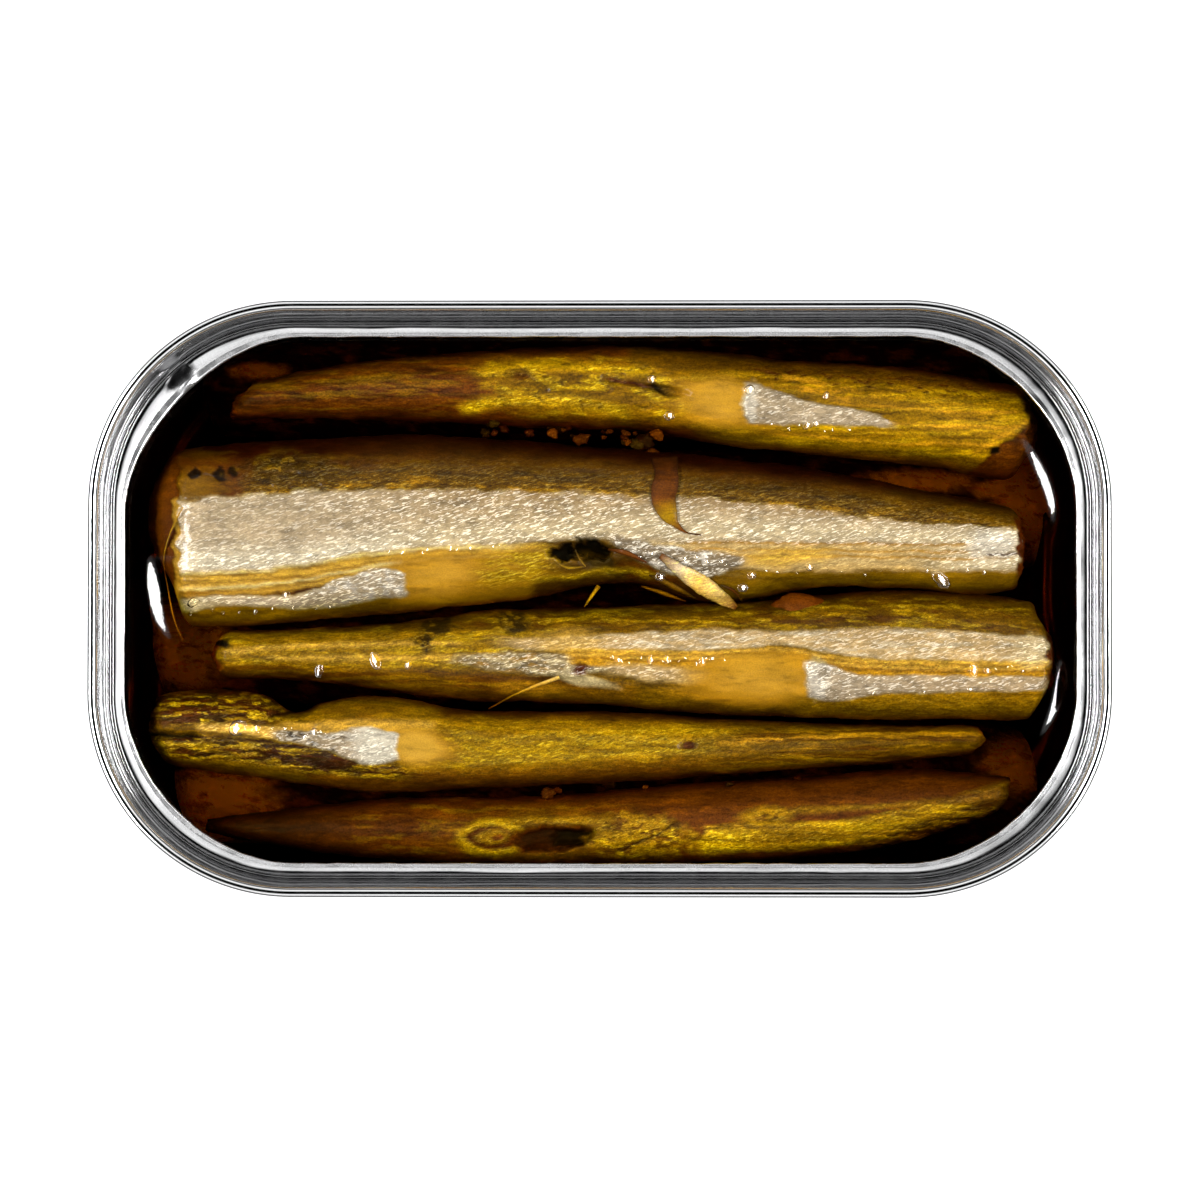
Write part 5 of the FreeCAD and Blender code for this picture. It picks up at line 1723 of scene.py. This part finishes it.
def buildCrumbs(material):
    # most lie in the gap between the first two fish, the rest further down and to the right
    look = looseLook
    generator = np.random.default_rng(look["seed"])
    small, large = look["crumbSizes"]
    crumbs = []
    for index in range(look["crumbCount"]):
        if index < 30:
            x = generator.uniform(-12, 6)
            y = 17.0 - 0.05 * x + generator.uniform(-0.7, 0.9)
        elif index < 38:
            x = generator.uniform(2.6, 5.8)
            y = generator.uniform(14.6, 16.9)
        else:
            x = generator.uniform(-6, 30)
            y = -19.4 + 0.05 * x + generator.uniform(-0.5, 0.7)
        size = small + (large - small) * generator.random() ** 2.2
        place = (x, y, oilLevel - 2.2 - generator.random() * 2.0)
        points, faces = lump(place, (size * 1.3, size, size * 0.7), 300 + index, 0.85)
        colour = tones[look["crumbTones"][index % len(look["crumbTones"])]] * 0.6
        crumbs.append((points, faces, np.tile(colour, (len(points), 1))))
    addLoose("crumbs", crumbs, material, 0.0, 0.4, wet=0.0)


def buildClot(material):
    x, y, below = looseLook["clotPlace"]
    points, faces = lump((x, y, oilLevel - below), looseLook["clotSize"], 400, 0.22, 22, 40)
    clot = (points, faces, np.tile(tones["brown"], (len(points), 1)))
    addLoose("brownClot", [clot], material, 0.0, 0.0, wet=0.0)


dropLook = {
    # drops of oil left standing on the skin: place, size, turn in degrees
    "drops": [
        ((34.9, 1.9), (1.0, 0.6), -40), ((6.3, 2.2), (0.5, 0.4), 0),
        ((15.6, 2.4), (0.45, 0.4), 0), ((14.7, 1.1), (0.5, 0.4), 0),
        ((-22.8, -6.4), (0.9, 0.55), -65), ((-28.6, -7.4), (0.7, 0.4), 85),
        ((-19.4, -6.8), (0.45, 0.35), 60), ((5.4, 22.4), (0.45, 0.4), 0),
        ((7.2, 18.7), (0.5, 0.4), 0), ((15.4, 21.3), (0.5, 0.45), 0),
        ((23.2, 20.7), (0.4, 0.3), 60), ((21.3, 17.7), (0.5, 0.35), 30),
        ((22.2, 17.9), (0.35, 0.3), 0), ((-36.9, -13.3), (0.9, 0.7), 20),
        ((-34.9, -13.3), (0.4, 0.35), 0), ((-29, -13.7), (0.4, 0.4), 0),
        ((38.2, -7.3), (0.7, 0.45), 90), ((39.6, -7.4), (0.4, 0.3), 0),
        ((2, -6.3), (0.4, 0.3), 0), ((5.3, -6.3), (0.5, 0.3), 90),
        ((7.0, -6.3), (0.45, 0.3), 90), ((10.6, -6.5), (0.5, 0.35), 90),
        ((-41.5, -0.4), (0.6, 0.4), 30), ((-32, 0.4), (0.4, 0.3), 0),
        ((21.5, 3.2), (0.4, 0.35), 0)],
    "swell": 1.15,              # all of them are this much larger
    # rows of fine beads: first and last place, how many
    "rows": [
        ((1.2, -6.2), (13, -6.4), 13), ((-22, 4.6), (-9, 5.3), 9), ((-42, -1.5), (-27, -0.9), 9),
        ((16, 2.9), (40, 2.8), 12), ((37, -7.4), (45, -7.0), 8), ((17, 17.6), (26, 17.2), 7),
        ((-36, -13.4), (-27, -13.9), 8), ((14, 3.4), (4, 4.6), 8), ((24, -9.9), (40, -9.4), 6)],
    "beadSizes": (0.10, 0.24),
    "beadSway": 0.18,           # mm to either side of the row
    "height": 0.45,             # share of the width
    "deep": 6.0,                # mm below the rim
    "tint": (1, 0.97, 0.86, 1),
    "seed": 12,
}


def buildDrops(relief):
    look = dropLook
    lampX = stageLook["softboxPlace"][0] / mm
    lampZ = stageLook["softboxPlace"][2] / mm
    generator = np.random.default_rng(look["seed"])
    swell = look["swell"]
    drops = [(place, (long * swell, wide * swell), turn)
             for place, (long, wide), turn in look["drops"]]
    for (ax, ay), (bx, by), count in look["rows"]:
        for step in range(count):
            share = (step + generator.uniform(0.1, 0.9)) / count
            size = generator.uniform(*look["beadSizes"])
            sway = generator.normal() * look["beadSway"]
            place = (ax + (bx - ax) * share, ay + (by - ay) * share + sway)
            sizes = (size * generator.uniform(1, 1.5), size)
            drops.append((place, sizes, generator.uniform(0, 180)))
    parts = []
    for order, (place, size, turn) in enumerate(drops):
        x, y = carriedDown(*place, look["deep"])
        base = float(relief.at(np.array([x]), np.array([y]))[0])
        base = max(base, oilLevel) - 0.02
        high = look["height"] * min(size)
        points, faces = lump((0, 0, 0), (1, 1, 1), 500 + order, 0.25, 12, 24)
        reach = np.hypot(points[:, 0], points[:, 1])
        points[:, 2] = np.sign(points[:, 2]) * np.clip(1 - reach ** 5, 0, 1) ** 0.5
        points *= np.array([size[0], size[1], high])
        angle = math.radians(turn)
        turned = np.stack([points[:, 0] * math.cos(angle) - points[:, 1] * math.sin(angle),
                           points[:, 0] * math.sin(angle) + points[:, 1] * math.cos(angle),
                           points[:, 2]], axis=1)
        # it leans half way between the eye and the nearer lamp
        side = 1 if x > 0 else -1
        towardsLamp = math.atan((side * lampX - x) / lampZ)
        towardsEye = math.atan((sightX - x) / sightHeight)
        lean = (towardsLamp + towardsEye) / 2
        leaned = np.stack([turned[:, 0] * math.cos(lean) + turned[:, 2] * math.sin(lean),
                           turned[:, 1],
                           turned[:, 2] * math.cos(lean) - turned[:, 0] * math.sin(lean)], axis=1)
        parts.append((leaned + np.array([x, y, base]), faces, np.zeros((len(points), 3))))
    points, faces, _ = joinParts(parts)
    piece = addPiece("oilDrops", points, faces)
    piece.data.materials.append(makeClear("oilDrop", look["tint"]))
    print("drops built,", len(drops))


fishSkin = makeFishSkin()
tops = buildUpperFish(fishSkin)
buildLowerFish(fishSkin)
relief = Relief(tops)
buildStrips(relief, fishSkin)
buildCrumbs(fishSkin)
buildClot(fishSkin)
print("loose bits built")
buildDrops(relief)
buildOil(tops)
